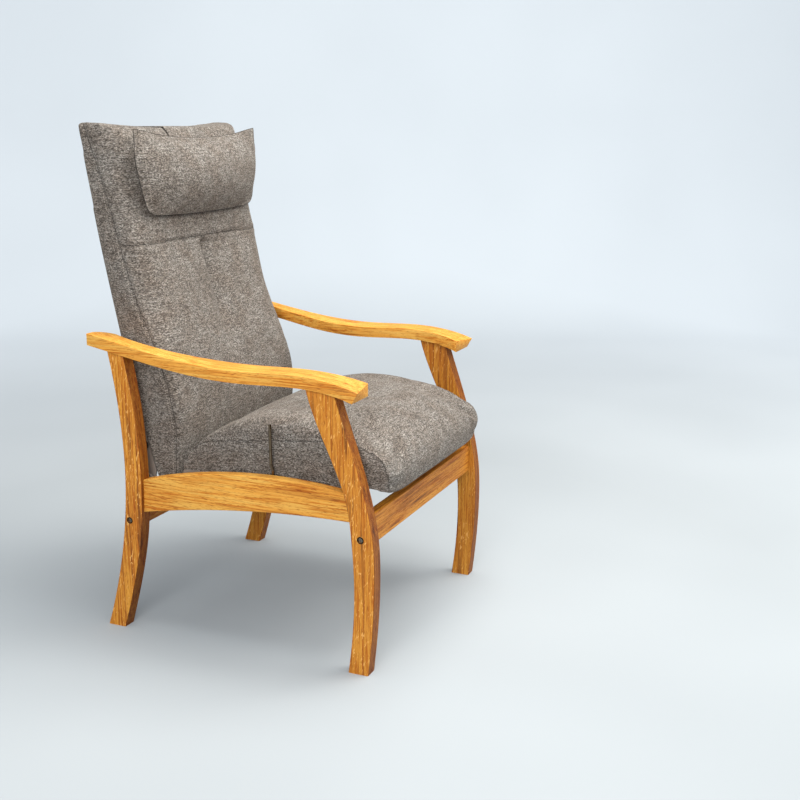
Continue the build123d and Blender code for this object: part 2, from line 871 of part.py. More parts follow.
# Each row: height, side seam, front face and channel depth, as shares of the back's height,
# its depth measured from the rear face, and the channel's own depth
back_section_shares = (
    (0.0, 0.38, 0.42, 0.0),
    (0.0833, 0.545, 0.675, 0.0),
    (0.1667, 0.705, 0.87, 0.0),
    (0.25, 0.735, 0.975, 0.1),
    (0.3333, 0.705, 0.95, 0.45),
    (0.4167, 0.635, 0.88, 0.8),
    (0.5, 0.53, 0.825, 1.0),
    (0.5833, 0.462, 0.812, 0.9),
    (0.6667, 0.413, 0.8, 0.3),
    (0.75, 0.364, 0.795, 0.0),
    (0.8333, 0.295, 0.79, 0.0),
    (0.9167, 0.212, 0.75, 0.0),
    (1.0, 0.11, 0.7, 0.0),
)


def rear_circle():
    """Centre and radius of the circle that the back's rear face follows in the side view."""
    chord = sqrt(back_lean**2 + back_height**2)
    radius = (chord**2 / 4 + back_bulge**2) / (2 * back_bulge)
    inward = (radius - back_bulge) / chord
    centre_y = back_rear_bottom + back_lean / 2 - inward * back_height
    centre_z = back_bottom + back_height / 2 + inward * back_lean
    return centre_y, centre_z, radius


circle_y, circle_z, circle_radius = rear_circle()


def rear_face(z):
    """Where the back's rear face lies at a height."""
    return circle_y + sqrt(circle_radius**2 - (z - circle_z) ** 2)


def rear_bar(x, z, start, end, radius):
    """A round bar square to the rear face, between two distances behind it."""
    out = Vector(0, rear_face(z) - circle_y, z - circle_z).normalized()
    foot = Vector(x, rear_face(z), z)
    place = Plane(origin=foot + out * (start + end) / 2, z_dir=out)
    return place.location * Cylinder(radius, abs(end - start), mode=Mode.PRIVATE)


def front_face(z):
    """Where the back's front face lies at a height, in the middle."""
    return rear_face(z) - back_depth * between(back_section_shares, (z - back_bottom) / back_height, 2)


def back_section(row):
    """The back's plan outline at one height, overlong at the rear."""
    height, seam, front, channel = row
    z = back_bottom + height * back_height
    rear = rear_face(z)
    seam_y = rear - seam * back_depth
    front_y = rear - front * back_depth
    wide = back_half_width
    inset = back_corner_inset * min(1, (front - seam) * 3)
    lobe_end = (wide - inset, front_y + back_lobe_crown)
    inward, rearward = back_corner_shares
    corner = (wide - inset * inward, lobe_end[1] + (seam_y - lobe_end[1]) * rearward)
    crown = (lobe_end[0] / 2, front_y + back_lobe_crown / 4 * (1 - channel))
    valley = (0, front_y + channel * back_channel)
    with BuildSketch(Plane.XY.offset(z)) as section:
        with BuildLine():
            Line((-wide, rear + overrun), (wide, rear + overrun))
            Line((wide, rear + overrun), (wide, seam_y))
            ThreePointArc((wide, seam_y), corner, lobe_end)
            ThreePointArc(lobe_end, crown, valley)
            ThreePointArc(valley, (-crown[0], crown[1]), (-lobe_end[0], lobe_end[1]))
            ThreePointArc((-lobe_end[0], lobe_end[1]), (-corner[0], corner[1]), (-wide, seam_y))
            Line((-wide, seam_y), (-wide, rear + overrun))
        make_face()
    return section.sketch


def pocket_depth(z):
    share = (z - back_bottom) / pocket_height
    return pocket_bottom_depth + share * (pocket_top_depth - pocket_bottom_depth)


def back_slab(x_span, z_span, near, far):
    """A slab that follows the rear face, from the depth near to the depth far, both functions of height."""
    low, high = z_span
    middle = (low + high) / 2
    front = [(rear_face(z) - far(z), z) for z in (low, middle, high)]
    rear = [(rear_face(z) - near(z), z) for z in (high, middle, low)]
    with BuildPart() as slab:
        with BuildSketch(Plane.YZ.offset(x_span[0])):
            with BuildLine():
                ThreePointArc(*front)
                Line(front[2], rear[0])
                ThreePointArc(*rear)
                Line(rear[2], front[0])
            make_face()
        extrude(amount=x_span[1] - x_span[0])
    return slab


def make_back_blank():
    """The back's padded body, cut to the circle behind and rounded over at the top."""
    top = back_bottom + back_height
    behind = back_slab(
        (-back_half_width - overrun, back_half_width + overrun),
        (back_bottom - overrun, top + overrun),
        lambda z: -3 * overrun,
        lambda z: 0,
    )
    roll_end = rear_face(top) - back_roll_inset
    roll_start = (roll_end - back_roll_depth, top - back_roll_height)
    forward, down = back_roll_shares
    roll_middle = (roll_end - back_roll_depth * forward, top - back_roll_height * down)
    with BuildPart() as blank:
        loft([back_section(row) for row in back_section_shares])
        add(behind.part, mode=Mode.SUBTRACT)
        with BuildSketch(Plane.YZ.offset(-back_half_width - overrun)):
            with BuildLine():
                ThreePointArc(roll_start, roll_middle, (roll_end, top))
                Polyline(
                    (roll_end, top),
                    (roll_end, top + overrun),
                    (roll_start[0] - 4 * overrun, top + overrun),
                    (roll_start[0] - 4 * overrun, roll_start[1]),
                    roll_start,
                )
            make_face()
        extrude(amount=2 * (back_half_width + overrun), mode=Mode.SUBTRACT)
    return blank


def make_back_cushion():
    """The padded back with two lobes and a seam, hollow behind for its boards."""
    top = back_bottom + back_height
    wide = back_half_width + overrun
    pocket = back_slab(
        (-pocket_half_width, pocket_half_width),
        (back_bottom - overrun, back_bottom + pocket_height),
        lambda z: -overrun,
        pocket_depth,
    )
    groove_z = back_bottom + back_groove_share * back_height
    groove_y = front_face(groove_z)
    high = (front_face(groove_z + back_groove_half) - soft_clearance, groove_z + back_groove_half)
    low = (front_face(groove_z - back_groove_half) - soft_clearance, groove_z - back_groove_half)
    floor = (groove_y + back_groove, groove_z)
    bend_y = groove_y + back_groove * back_groove_curve_shares[0]
    bend_rise = back_groove_half * back_groove_curve_shares[1]
    with BuildPart() as cushion:
        add(make_back_blank().part)
        with BuildSketch(Plane.XZ.offset(-rear_face(top) - overrun)):
            with BuildLine():
                ThreePointArc((-wide, top), (0, top - back_ear_rise), (wide, top))
                Polyline((wide, top), (wide, top + overrun), (-wide, top + overrun), (-wide, top))
            make_face()
        extrude(amount=back_depth + 2 * overrun, mode=Mode.SUBTRACT)
        with BuildSketch(Plane.YZ.offset(-wide)):
            with BuildLine():
                ThreePointArc(high, (bend_y, groove_z + bend_rise), floor)
                ThreePointArc(floor, (bend_y, groove_z - bend_rise), low)
                Polyline(low, (low[0] - overrun, low[1]), (high[0] - overrun, high[1]), high)
            make_face()
        extrude(amount=2 * wide, mode=Mode.SUBTRACT)
        add(pocket.part, mode=Mode.SUBTRACT)
        spacer_reach = pivot_spacer_radius + soft_clearance
        for side in (-1, 1):
            hole = bar_along("X", side * pocket_half_width, side * wide, pivot_y, pivot_height, spacer_reach)
            add(hole, mode=Mode.SUBTRACT)
    return cushion


board_x = pocket_half_width - soft_clearance
board_z = (back_bottom, back_bottom + pocket_height - soft_clearance)


def board_far(z):
    return pocket_depth(z) - 2 * soft_clearance - webbing_thickness


hinge_flange_top = hinge_flange_bottom + hinge_flange_height
hinge_screw_z = [hinge_flange_bottom + hinge_screw_edge, hinge_flange_top - hinge_screw_edge]


def hinge_screw_bars(start, end, radius, sides):
    """Bars for the screws that hold the hinge plates, between two distances behind the rear face."""
    return [rear_bar(side * hinge_screw_x, z, start, end, radius) for side in sides for z in hinge_screw_z]


def make_back_stile():
    blank = back_slab((-board_x, -board_x + stile_width), board_z, lambda z: back_cover_thickness, board_far)
    with BuildPart() as stile:
        add(blank.part)
        hole = screw_radius + hole_clearance
        for bar in hinge_screw_bars(-hinge_screw_length - hole_end_gap, overrun, hole, (-1,)):
            add(bar, mode=Mode.SUBTRACT)
    return stile


def make_back_rail(share):
    """A rail between the stiles, placed by its share of the way up them."""
    low = board_z[0] + share * (board_z[1] - board_z[0] - back_rail_height)
    inner = board_x - stile_width
    z_span = (low, low + back_rail_height)
    return back_slab((-inner, inner), z_span, lambda z: back_cover_thickness, board_far)


def make_rear_cover():
    blank = back_slab((-board_x, board_x), board_z, lambda z: 0, lambda z: back_cover_thickness)
    with BuildPart() as cover:
        add(blank.part)
        for bar in hinge_screw_bars(-2 * overrun, overrun, screw_radius + hole_clearance, (-1, 1)):
            add(bar, mode=Mode.SUBTRACT)
    return cover


def webbing_near(z):
    return board_far(z) + hole_clearance


def webbing_far(z):
    return webbing_near(z) + webbing_thickness


def make_webbing():
    """Elastic straps across the front of the stiles."""
    room = board_z[1] - board_z[0] - 2 * back_rail_height
    step = room / webbing_count
    with BuildPart() as straps:
        for index in range(webbing_count):
            middle = board_z[0] + back_rail_height + (index + 0.5) * step
            z_span = (middle - webbing_width / 2, middle + webbing_width / 2)
            strap = back_slab((-board_x, board_x), z_span, webbing_near, webbing_far)
            add(strap.part)
    return straps


# Recline pivot

def make_hinge_plate():
    """A plate behind the back: a flange on its rear face, and a web with the pivot's and the pin's holes."""
    top = hinge_flange_bottom + hinge_flange_height
    flange = back_slab(
        (-hinge_plate_x, -hinge_plate_x + hinge_flange_width),
        (hinge_flange_bottom, top),
        lambda z: -hinge_plate_thickness,
        lambda z: 0,
    )
    web_x = -hinge_plate_x - hinge_plate_thickness
    heights = (hinge_flange_bottom, hinge_flange_bottom + hinge_flange_height / 2, top)
    front_low, front_middle, front_high = [(rear_face(z), z) for z in heights]
    with BuildPart() as plate:
        add(flange.part)
        with BuildSketch(Plane.YZ.offset(web_x)):
            with BuildLine():
                ThreePointArc(front_low, front_middle, front_high)
                Polyline(
                    front_high,
                    (rear_face(top) + hinge_plate_thickness, top),
                    (pivot_y + hinge_corner, pivot_height + hinge_corner),
                    (pivot_y + hinge_corner, pivot_height - hinge_corner),
                    (follower_y + hinge_corner, follower_z - hinge_corner / 2),
                    (follower_y, follower_z - hinge_corner),
                    (follower_y - hinge_corner, follower_z - hinge_corner / 2),
                    front_low,
                )
            make_face()
            with Locations((pivot_y, pivot_height)):
                Circle(pivot_radius + running_clearance, mode=Mode.SUBTRACT)
            with Locations((follower_y, follower_z)):
                Circle(follower_pin_radius + hole_clearance, mode=Mode.SUBTRACT)
        extrude(amount=hinge_plate_thickness)
        head_end = -hinge_plate_x + pivot_head_height + hole_end_gap
        head_room = pivot_head_radius + hole_end_gap
        add(bar_along("X", -hinge_plate_x, head_end, pivot_y, pivot_height, head_room), mode=Mode.SUBTRACT)
        for bar in hinge_screw_bars(-overrun, 2 * overrun, screw_radius + hole_clearance, (-1,)):
            add(bar, mode=Mode.SUBTRACT)
    return plate


def make_hinge_screws():
    head = hinge_plate_thickness
    with BuildPart() as screws:
        for bar in hinge_screw_bars(-hinge_screw_length, head, screw_radius, (-1, 1)):
            add(bar)
        for bar in hinge_screw_bars(head, head + screw_head_height, screw_head_radius, (-1, 1)):
            add(bar)
    return screws


def make_pivot_pins():
    """Pins from the rear legs through the hinge plates, with a head on each inner end."""
    head = hinge_plate_x - runner_clearance
    with BuildPart() as pins:
        for side in (-1, 1):
            start = side * (inner_x + pivot_leg_depth)
            add(bar_along("X", start, side * head, pivot_y, pivot_height, pivot_radius))
            head_end = side * (head - pivot_head_height)
            add(bar_along("X", side * head, head_end, pivot_y, pivot_height, pivot_head_radius))
    return pins


def make_pivot_spacers():
    start = hinge_plate_x + hinge_plate_thickness + runner_clearance
    with BuildPart() as spacers:
        for side in (-1, 1):
            add(bar_along("X", side * inner_x, side * start, pivot_y, pivot_height, pivot_spacer_radius))
            ends = (side * (inner_x + overrun), side * (start - overrun))
            hole = pivot_radius + hole_clearance
            add(bar_along("X", *ends, pivot_y, pivot_height, hole), mode=Mode.SUBTRACT)
    return spacers


def make_follower_pins():
    """A pin on each hinge plate that runs in the follower bar's slot."""
    outer = follower_bar_x + follower_bar_thickness + screw_head_height
    with BuildPart() as pins:
        for side in (-1, 1):
            inner = side * hinge_plate_x
            add(bar_along("X", inner, side * outer, follower_y, follower_z, follower_pin_radius))
            head = inner - side * screw_head_height
            add(bar_along("X", head, inner, follower_y, follower_z, follower_bolt_head_radius))
    return pins


# Gas spring

def lug(x_span, foot, pin):
    """A plate from a foot, given as y, z and width, down to a rounded end about a pin's place."""
    foot_y, foot_z, foot_wide = foot
    pin_y, pin_z = pin
    with BuildPart() as plate:
        with BuildSketch(Plane.YZ.offset(min(x_span))):
            with BuildLine():
                Polyline(
                    (foot_y - foot_wide / 2, foot_z),
                    (foot_y + foot_wide / 2, foot_z),
                    (pin_y + gas_eye_radius, pin_z),
                    (pin_y - gas_eye_radius, pin_z),
                    close=True,
                )
            make_face()
            with Locations((pin_y, pin_z)):
                Circle(gas_eye_radius)
                Circle(gas_pin_radius + hole_clearance, mode=Mode.SUBTRACT)
        extrude(amount=abs(x_span[1] - x_span[0]))
    return plate


lug_x = (gas_fork_gap / 2, gas_fork_gap / 2 + gas_fork_plate)


def make_gas_bracket():
    """A bracket under the rear cross bar, with two lugs for the pin and one for the cable's end."""
    foot_z = bar_bottom - gas_foot_thickness
    with BuildPart() as bracket:
        y_span = (rear_bar_y - bar_depth / 2, rear_bar_y + bar_depth / 2)
        add(block((-gas_foot_width / 2, gas_foot_width / 2), y_span, (foot_z, bar_bottom)))
        for side in (-1, 1):
            x_span = (side * lug_x[0], side * lug_x[1])
            add(lug(x_span, (rear_bar_y, foot_z, bar_depth), (gas_front_y, gas_z)).part)
        cable_lug = (-gas_foot_width / 2, -gas_foot_width / 2 + gas_foot_thickness)
        lug_y = (cable_end_y - gas_eye_radius / 2, rear_bar_y + bar_depth / 2)
        add(block(cable_lug, lug_y, (gas_z - gas_eye_radius, foot_z)))
        hole = cable_radius + hole_clearance
        ends = (cable_lug[0] - overrun, cable_lug[1] + overrun)
        add(bar_along("X", *ends, cable_end_y, gas_z, hole), mode=Mode.SUBTRACT)
    return bracket


def make_yoke():
    """A fork under the back's bottom rail that holds the rear end of the gas spring."""
    foot_z = back_bottom - gas_foot_thickness
    depth = board_far(back_bottom) - back_cover_thickness
    foot_y = rear_face(back_bottom) - back_cover_thickness - depth / 2
    with BuildPart() as yoke:
        y_span = (foot_y - depth / 2, foot_y + depth / 2)
        add(block((-gas_foot_width / 2, gas_foot_width / 2), y_span, (foot_z, back_bottom)))
        for side in (-1, 1):
            x_span = (side * lug_x[0], side * lug_x[1])
            add(lug(x_span, (foot_y, foot_z, depth), (gas_rear_y, gas_z)).part)
    return yoke


def make_gas_pin(y):
    half = gas_pin_length / 2
    with BuildPart() as pin:
        add(bar_along("X", -half, half, y, gas_z, gas_pin_radius))
    return pin


def make_gas_cylinder():
    """The cylinder: a tube closed at the rear, an eye behind it and a rod gland in front."""
    rear = gas_rear_y - gas_end_gap
    front = rear - gas_length
    half = gas_eye_width / 2
    with BuildPart() as cylinder:
        add(bar_along("Y", front, rear, 0, gas_z, gas_radius))
        add(bar_along("Y", rear - overrun, gas_rear_y, 0, gas_z, gas_rod_radius + gas_wall))
        add(bar_along("X", -half, half, gas_rear_y, gas_z, gas_eye_radius))
        bore = gas_radius - gas_wall
        add(bar_along("Y", front + 2 * gas_wall, rear - 2 * gas_wall, 0, gas_z, bore), mode=Mode.SUBTRACT)
        gland = gas_rod_radius + running_clearance
        add(bar_along("Y", front - overrun, front + overrun, 0, gas_z, gland), mode=Mode.SUBTRACT)
        eye = gas_pin_radius + gas_eye_play
        add(bar_along("X", -half - overrun, half + overrun, gas_rear_y, gas_z, eye), mode=Mode.SUBTRACT)
    return cylinder


def make_gas_rod():
    """The rod, with its piston inside the cylinder and its eye on the bracket's pin."""
    piston = gas_front_y + gas_rod_length
    half = gas_eye_width / 2
    with BuildPart() as rod:
        add(bar_along("Y", gas_front_y, piston, 0, gas_z, gas_rod_radius))
        piston_radius = gas_radius - gas_wall - running_clearance
        add(bar_along("Y", piston, piston + gas_piston_length, 0, gas_z, piston_radius))
        add(bar_along("X", -half, half, gas_front_y, gas_z, gas_eye_radius - gas_wall))
        hole = gas_pin_radius + running_clearance
        add(bar_along("X", -half - overrun, half + overrun, gas_front_y, gas_z, hole), mode=Mode.SUBTRACT)
    return rod


head_front = gas_front_y + gas_eye_radius - gas_wall + hole_clearance
cable_end_y = head_front + head_length / 2


def make_release_head():
    """The valve head on the rod beside its eye, which the cable works."""
    half = gas_eye_width / 2
    with BuildPart() as head:
        z_span = (gas_z - head_height / 2, gas_z + head_height / 2)
        add(block((-half - gas_wall, half + gas_wall), (head_front, head_front + head_length), z_span))
        fillet(head.edges().filter_by(Axis.Y), gas_wall)
        hole = gas_rod_radius + hole_clearance
        end = head_front + head_length + overrun
        add(bar_along("Y", head_front - overrun, end, 0, gas_z, hole), mode=Mode.SUBTRACT)
    return head


# Release lever, wire and cable

lever_inner = lever_plane - lever_hub_width / 2


def lever_screw_shank(clearance):
    """The shank of the lever's screw, from its head into the right-hand rail."""
    end = -lever_inner - screw_length
    return bar_along("X", end, -lever_inner, lever_y, lever_height, screw_radius + clearance)


def make_lever():
    """A steel rod with one small kink and a flattened tip, on a hub with a short arm below it."""
    kink_low = lever_height + lever_kink_rise
    kink_high = kink_low + lever_kink_length
    tip = lever_height + lever_rise
    with BuildPart() as lever:
        with BuildLine() as path:
            FilletPolyline(
                (-lever_plane, lever_y, lever_height + lever_hub_radius / 2),
                (-lever_plane, lever_y, kink_low),
                (-lever_plane, lever_y + lever_kink, kink_high),
                (-lever_plane, lever_y + lever_kink, tip - lever_tip_length),
                radius=lever_kink,
            )
        with BuildSketch(Plane(origin=path.line @ 0, z_dir=path.line % 0)):
            Circle(lever_radius)
        sweep(path=path.line)
        tip_y = lever_y + lever_kink
        half = lever_tip_width / 2
        x_span = (-lever_plane - lever_radius, -lever_plane + lever_radius)
        add(block(x_span, (tip_y - half, tip_y + half), (tip - lever_tip_length, tip)))
        hub_end = -lever_inner - lever_hub_width
        add(bar_along("X", -lever_inner, hub_end, lever_y, lever_height, lever_hub_radius))
        arm_x = (-lever_inner - lever_hub_width, -lever_inner)
        arm_y = (lever_y - lever_arm_thickness / 2, lever_y + lever_arm_thickness / 2)
        arm_z = (wire_z - lever_arm_width / 2, lever_height)
        add(block(arm_x, arm_y, arm_z))
        slot = wire_radius + lever_slot_play
        slot_z = (wire_z - slot, wire_z + slot)
        slot_x = (-lever_plane - slot, -lever_plane + slot)
        add(block(slot_x, (arm_y[0] - overrun, arm_y[1] + overrun), slot_z), mode=Mode.SUBTRACT)
        hole = screw_radius + running_clearance
        ends = (-lever_inner + overrun, -lever_inner - lever_hub_width - overrun)
        add(bar_along("X", *ends, lever_y, lever_height, hole), mode=Mode.SUBTRACT)
    return lever


def make_lever_screw():
    head = -lever_inner + hole_clearance
    with BuildPart() as screw:
        add(lever_screw_shank(0))
        add(bar_along("X", -lever_inner, head, lever_y, lever_height, screw_radius))
        add(bar_along("X", head, head + screw_head_height, lever_y, lever_height, lever_screw_head))
    return screw


def make_release_wire():
    """The inner wire, with a nipple in front of the lever's arm and its end inside the cable's stop."""
    front = lever_y - lever_arm_thickness / 2 - nipple_gap
    with BuildPart() as wire:
        add(bar_along("Y", front - nipple_length, front, -lever_plane, wire_z, nipple_radius))
        add(bar_along("Y", front, stop_y + stop_length / 2, -lever_plane, wire_z, wire_radius))
    return wire


def make_cable_stop():
    """A block on the rail that the cable's housing ends in."""
    inner = -lever_plane + stop_length / 2
    hole = wire_radius + hole_clearance
    middle = stop_y + stop_length / 2
    with BuildPart() as stop:
        z_span = (wire_z - stop_height / 2, wire_z + stop_height / 2)
        add(block((-inner_x, inner), (stop_y, stop_y + stop_length), z_span))
        add(bar_along("Y", stop_y - overrun, middle, -lever_plane, wire_z, hole), mode=Mode.SUBTRACT)
        socket = cable_radius + hole_clearance
        end = stop_y + stop_length + overrun
        add(bar_along("Y", middle, end, -lever_plane, wire_z, socket), mode=Mode.SUBTRACT)
    return stop


# Each row: a point of the cable's route from its stop to its end at the gas spring, as shares
# of the distance between these two across the chair, along it and down
cable_route_shares = (
    (0.0, 0.0, 0.0),
    (0.0, 0.27, 0.0),
    (0.0144, 0.5645, 0.27),
    (0.0829, 0.8957, 0.6),
    (0.2234, 1.0552, 0.8519),
    (0.4395, 1.0491, 0.963),
    (0.6556, 1.0123, 1.0185),
    (0.8285, 1.0, 1.0),
    (1.0, 1.0, 1.0),
)


def make_release_cable():
    """The cable's housing, from its stop under the rear cross bar to the valve head."""
    start = Vector(-lever_plane, stop_y + stop_length / 2 + hole_clearance, wire_z)
    end = Vector(-gas_eye_width / 2 - gas_wall - soft_clearance, cable_end_y, gas_z)
    reach = end - start
    route = [
        (start.X + x * reach.X, start.Y + y * reach.Y, start.Z + z * reach.Z)
        for x, y, z in cable_route_shares
    ]
    corners = list(zip(route, route[1:], route[2:]))
    radii = []
    for before, corner, after in corners:
        into, out = Vector(*corner) - Vector(*before), Vector(*after) - Vector(*corner)
        half_turn = into.get_angle(out) / 2
        radii.append(cable_bend_share * min(into.length, out.length) / tan(radians(half_turn)))
    print("cable radii", [round(radius) for radius in radii])
    with BuildPart() as cable:
        with BuildLine() as path:
            FilletPolyline(*route, radius=radii)
        with BuildSketch(Plane(origin=path.line @ 0, z_dir=path.line % 0)):
            Circle(cable_radius)
        sweep(path=path.line)
    by_length = sum(edge.length for edge in path.edges()) * pi * cable_radius**2
    print("cable volume", round(cable.part.volume), "by length", round(by_length))
    return cable


# Neck pillow, strap and counterweight

# Each row: place across as a share of half the width, then bottom and top as shares of the
# height, and the front and rear bulge as shares of the thickness
pillow_section_shares = (
    (-1.0, 0.62, 0.99, 0.08, 0.04),
    (-0.85, 0.09, 0.97, 0.36, 0.09),
    (-0.6, 0.02, 0.92, 0.6, 0.13),
    (-0.3, 0.0, 0.888, 0.73, 0.18),
    (0.0, 0.0, 0.88, 0.77, 0.197),
    (0.3, 0.0, 0.888, 0.73, 0.18),
    (0.6, 0.02, 0.92, 0.6, 0.13),
    (0.85, 0.09, 0.97, 0.36, 0.09),
    (1.0, 0.62, 0.99, 0.08, 0.04),
)


def pillow_section(row):
    place, low, high, front, rear = row
    start = (pillow_front + low * pillow_lean, pillow_bottom + low * pillow_height)
    end = (pillow_front + high * pillow_lean, pillow_bottom + high * pillow_height)
    middle = ((start[0] + end[0]) / 2, (start[1] + end[1]) / 2)
    with BuildSketch(Plane.YZ.offset(place * pillow_half_width)) as section:
        with BuildLine():
            ThreePointArc(start, (middle[0] - front * pillow_thickness, middle[1]), end)
            ThreePointArc(end, (middle[0] + rear * pillow_thickness, middle[1]), start)
        make_face()
    return section.sketch


def make_neck_pillow():
    """A pillow with pointed upper corners, trimmed flat at its two side seams."""
    seam = pillow_half_width - pillow_end_trim
    depth = (pillow_front - pillow_thickness, pillow_front + pillow_thickness)
    tall = (pillow_bottom - pillow_thickness, pillow_bottom + pillow_height + pillow_thickness)
    with BuildPart() as pillow:
        loft([pillow_section(row) for row in pillow_section_shares])
        add(block((-seam, seam), depth, tall), mode=Mode.INTERSECT)
    return pillow


def make_pillow_strap():
    """A wide strap over the top of the back, from behind the pillow to the counterweight."""
    top = back_bottom + back_height - back_ear_rise + strap_gap + hole_end_gap
    roll_z = back_bottom + back_height - back_roll_height
    roll_y = rear_face(back_bottom + back_height) - back_roll_inset - back_roll_depth - strap_front_gap
    rear_top = rear_face(top) + strap_gap + strap_thickness
    crest = (roll_y + back_roll_depth * strap_crest_shares[0], top)
    shoulder = (roll_y + back_roll_depth * strap_crest_shares[1], (roll_z + top) / 2 + back_ear_rise / 4)
    thick = strap_thickness
    outer = (shoulder[0] - thick * strap_turn_shares[0], shoulder[1] + thick * strap_turn_shares[1])
    front_y = front_face(strap_front_end) - strap_front_gap
    front_end = (front_y, strap_front_end)
    tail = back_slab(
        (-strap_width / 2, strap_width / 2),
        (strap_rear_end, top + thick),
        lambda z: -strap_gap - strap_thickness,
        lambda z: -strap_gap,
    )
    with BuildPart() as strap:
        with BuildSketch(Plane.YZ.offset(-strap_width / 2)):
            with BuildLine():
                Line(front_end, (roll_y, roll_z))
                ThreePointArc((roll_y, roll_z), shoulder, crest)
                Polyline(crest, (rear_top, top), (rear_top, top + thick), (crest[0], top + thick))
                ThreePointArc((crest[0], top + thick), outer, (roll_y - thick, roll_z))
                Polyline((roll_y - thick, roll_z), (front_y - thick, strap_front_end), front_end)
            make_face()
        extrude(amount=strap_width)
        add(tail.part)
    return strap


def make_counterweight():
    """A flat weight behind the back, hollowed in front for the strap that carries it."""
    weight_top = weight_bottom + weight_height
    strap_face = strap_gap + strap_thickness
    low = (rear_face(weight_bottom) + strap_face + weight_bottom_gap, weight_bottom)
    high = (rear_face(weight_top) + strap_face + weight_top_gap, weight_top)
    half = weight_width / 2
    slot = strap_width / 2 + weight_slot_depth
    with BuildPart() as weight:
        with BuildSketch(Plane.YZ.offset(-half)):
            with BuildLine():
                Polyline(
                    (low[0] - weight_slot_depth, low[1]),
                    (high[0] - weight_slot_depth, high[1]),
                    (high[0] + weight_thickness, high[1]),
                    (low[0] + weight_thickness, low[1]),
                    close=True,
                )
            make_face()
        extrude(amount=weight_width)
        rear_edges = weight.faces().sort_by(Axis.Y)[-1].edges()
        fillet(rear_edges, weight_corner)
        with BuildSketch(Plane.YZ.offset(-slot)):
            with BuildLine():
                Polyline(
                    (low[0] - weight_thickness, low[1]),
                    low,
                    high,
                    (high[0] - weight_thickness, high[1]),
                    close=True,
                )
            make_face()
        extrude(amount=2 * slot, mode=Mode.SUBTRACT)
    return weight


front_dowels = leg_dowels(front_leg_shares, front_leg_height, front_line)
rear_dowels = leg_dowels(rear_leg_shares, rear_leg_height, rear_line)
front_blank = make_leg_blank(front_leg_shares, front_leg_height, front_line)
rear_blank = make_leg_blank(rear_leg_shares, rear_leg_height, rear_line)
front_leg = make_leg(
    front_blank, front_leg_shares, front_leg_height, front_line,
    front_rail_bottom, front_rail_bottom + bolt_rise, front_dowel_z, True,
)
rear_leg = make_leg(
    rear_blank, rear_leg_shares, rear_leg_height, rear_line,
    rear_rail_bottom, rear_rail_bottom + bolt_rise, rear_dowel_z, False,
)
save_pair(front_leg, "front_leg")
save_pair(rear_leg, "rear_leg")
save_pair(make_arm(front_dowels + rear_dowels), "arm")
save(make_arm_dowels(front_dowels + rear_dowels), "arm_dowels")

save_pair(make_side_rail(), "side_rail")
save(make_cross_rail(front_line, front_rail_thickness, front_rail_bottom, front_rail_height), "front_rail")
save(make_cross_rail(rear_line, rear_rail_thickness, rear_rail_bottom, rear_rail_height), "rear_rail")
save(make_rail_dowels(), "rail_dowels")
save(make_frame_bolts(), "frame_bolts")
save(make_barrel_nuts(), "barrel_nuts")

save(make_cross_bar(front_bar_y), "front_cross_bar")
save(make_cross_bar(rear_bar_y), "rear_cross_bar")
save(make_flange_screws(), "cross_bar_screws")
save(make_guide_blocks(), "guide_blocks")

save(make_seat_cushion(), "seat_cushion")
save_pair(make_seat_side(), "seat_frame_side")
save(make_seat_end(True), "seat_frame_front")
save(make_seat_end(False), "seat_frame_rear")
save(make_seat_springs(), "seat_springs")
save(make_bottom_cloth(), "seat_bottom_cloth")
save_pair(make_runner(), "seat_runner")
save_pair(make_follower_bar(), "follower_bar")
save(make_follower_bolts(), "follower_bolts")

save(make_back_cushion(), "back_cushion")
save(make_rear_cover(), "back_rear_cover")
save_pair(make_back_stile(), "back_stile")
save(make_back_rail(0), "back_bottom_rail")
save(make_back_rail(0.52), "back_middle_rail")
save(make_back_rail(1), "back_top_rail")
save(make_webbing(), "back_webbing")
save_pair(make_hinge_plate(), "hinge_plate")
save(make_hinge_screws(), "hinge_screws")
save(make_pivot_pins(), "pivot_pins")
save(make_pivot_spacers(), "pivot_spacers")
save(make_follower_pins(), "follower_pins")

save(make_gas_bracket(), "gas_spring_bracket")
save(make_gas_pin(gas_front_y), "gas_front_pin")
save(make_gas_rod(), "gas_rod")
save(make_release_head(), "release_head")
save(make_gas_cylinder(), "gas_cylinder")
save(make_yoke(), "gas_spring_yoke")
save(make_gas_pin(gas_rear_y), "gas_rear_pin")

save(make_lever(), "release_lever")
save(make_lever_screw(), "lever_screw")
save(make_release_wire(), "release_wire")
save(make_cable_stop(), "cable_stop")
save(make_release_cable(), "release_cable")

save(make_neck_pillow(), "neck_pillow")
save(make_pillow_strap(), "pillow_strap")
save(make_counterweight(), "pillow_counterweight")
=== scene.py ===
# %% [markdown]
# # A high-back reclining armchair in oak and grey woven wool
#
# The chair is built as the real one is: two bent oak side frames, three oak rails,
# a seat and a back that move together, and a neck pillow that hangs over the back
# on a strap. The hard parts come in as a fixed frame from the construction model.
# Here they get their finishes, and the soft parts get their sewn and filled shapes.

# %% The frame
import bpy
import bmesh
from math import atan2, ceil, pi, radians, sqrt
from mathutils import Matrix, Vector
from mathutils.bvhtree import BVHTree
from mathutils.kdtree import KDTree


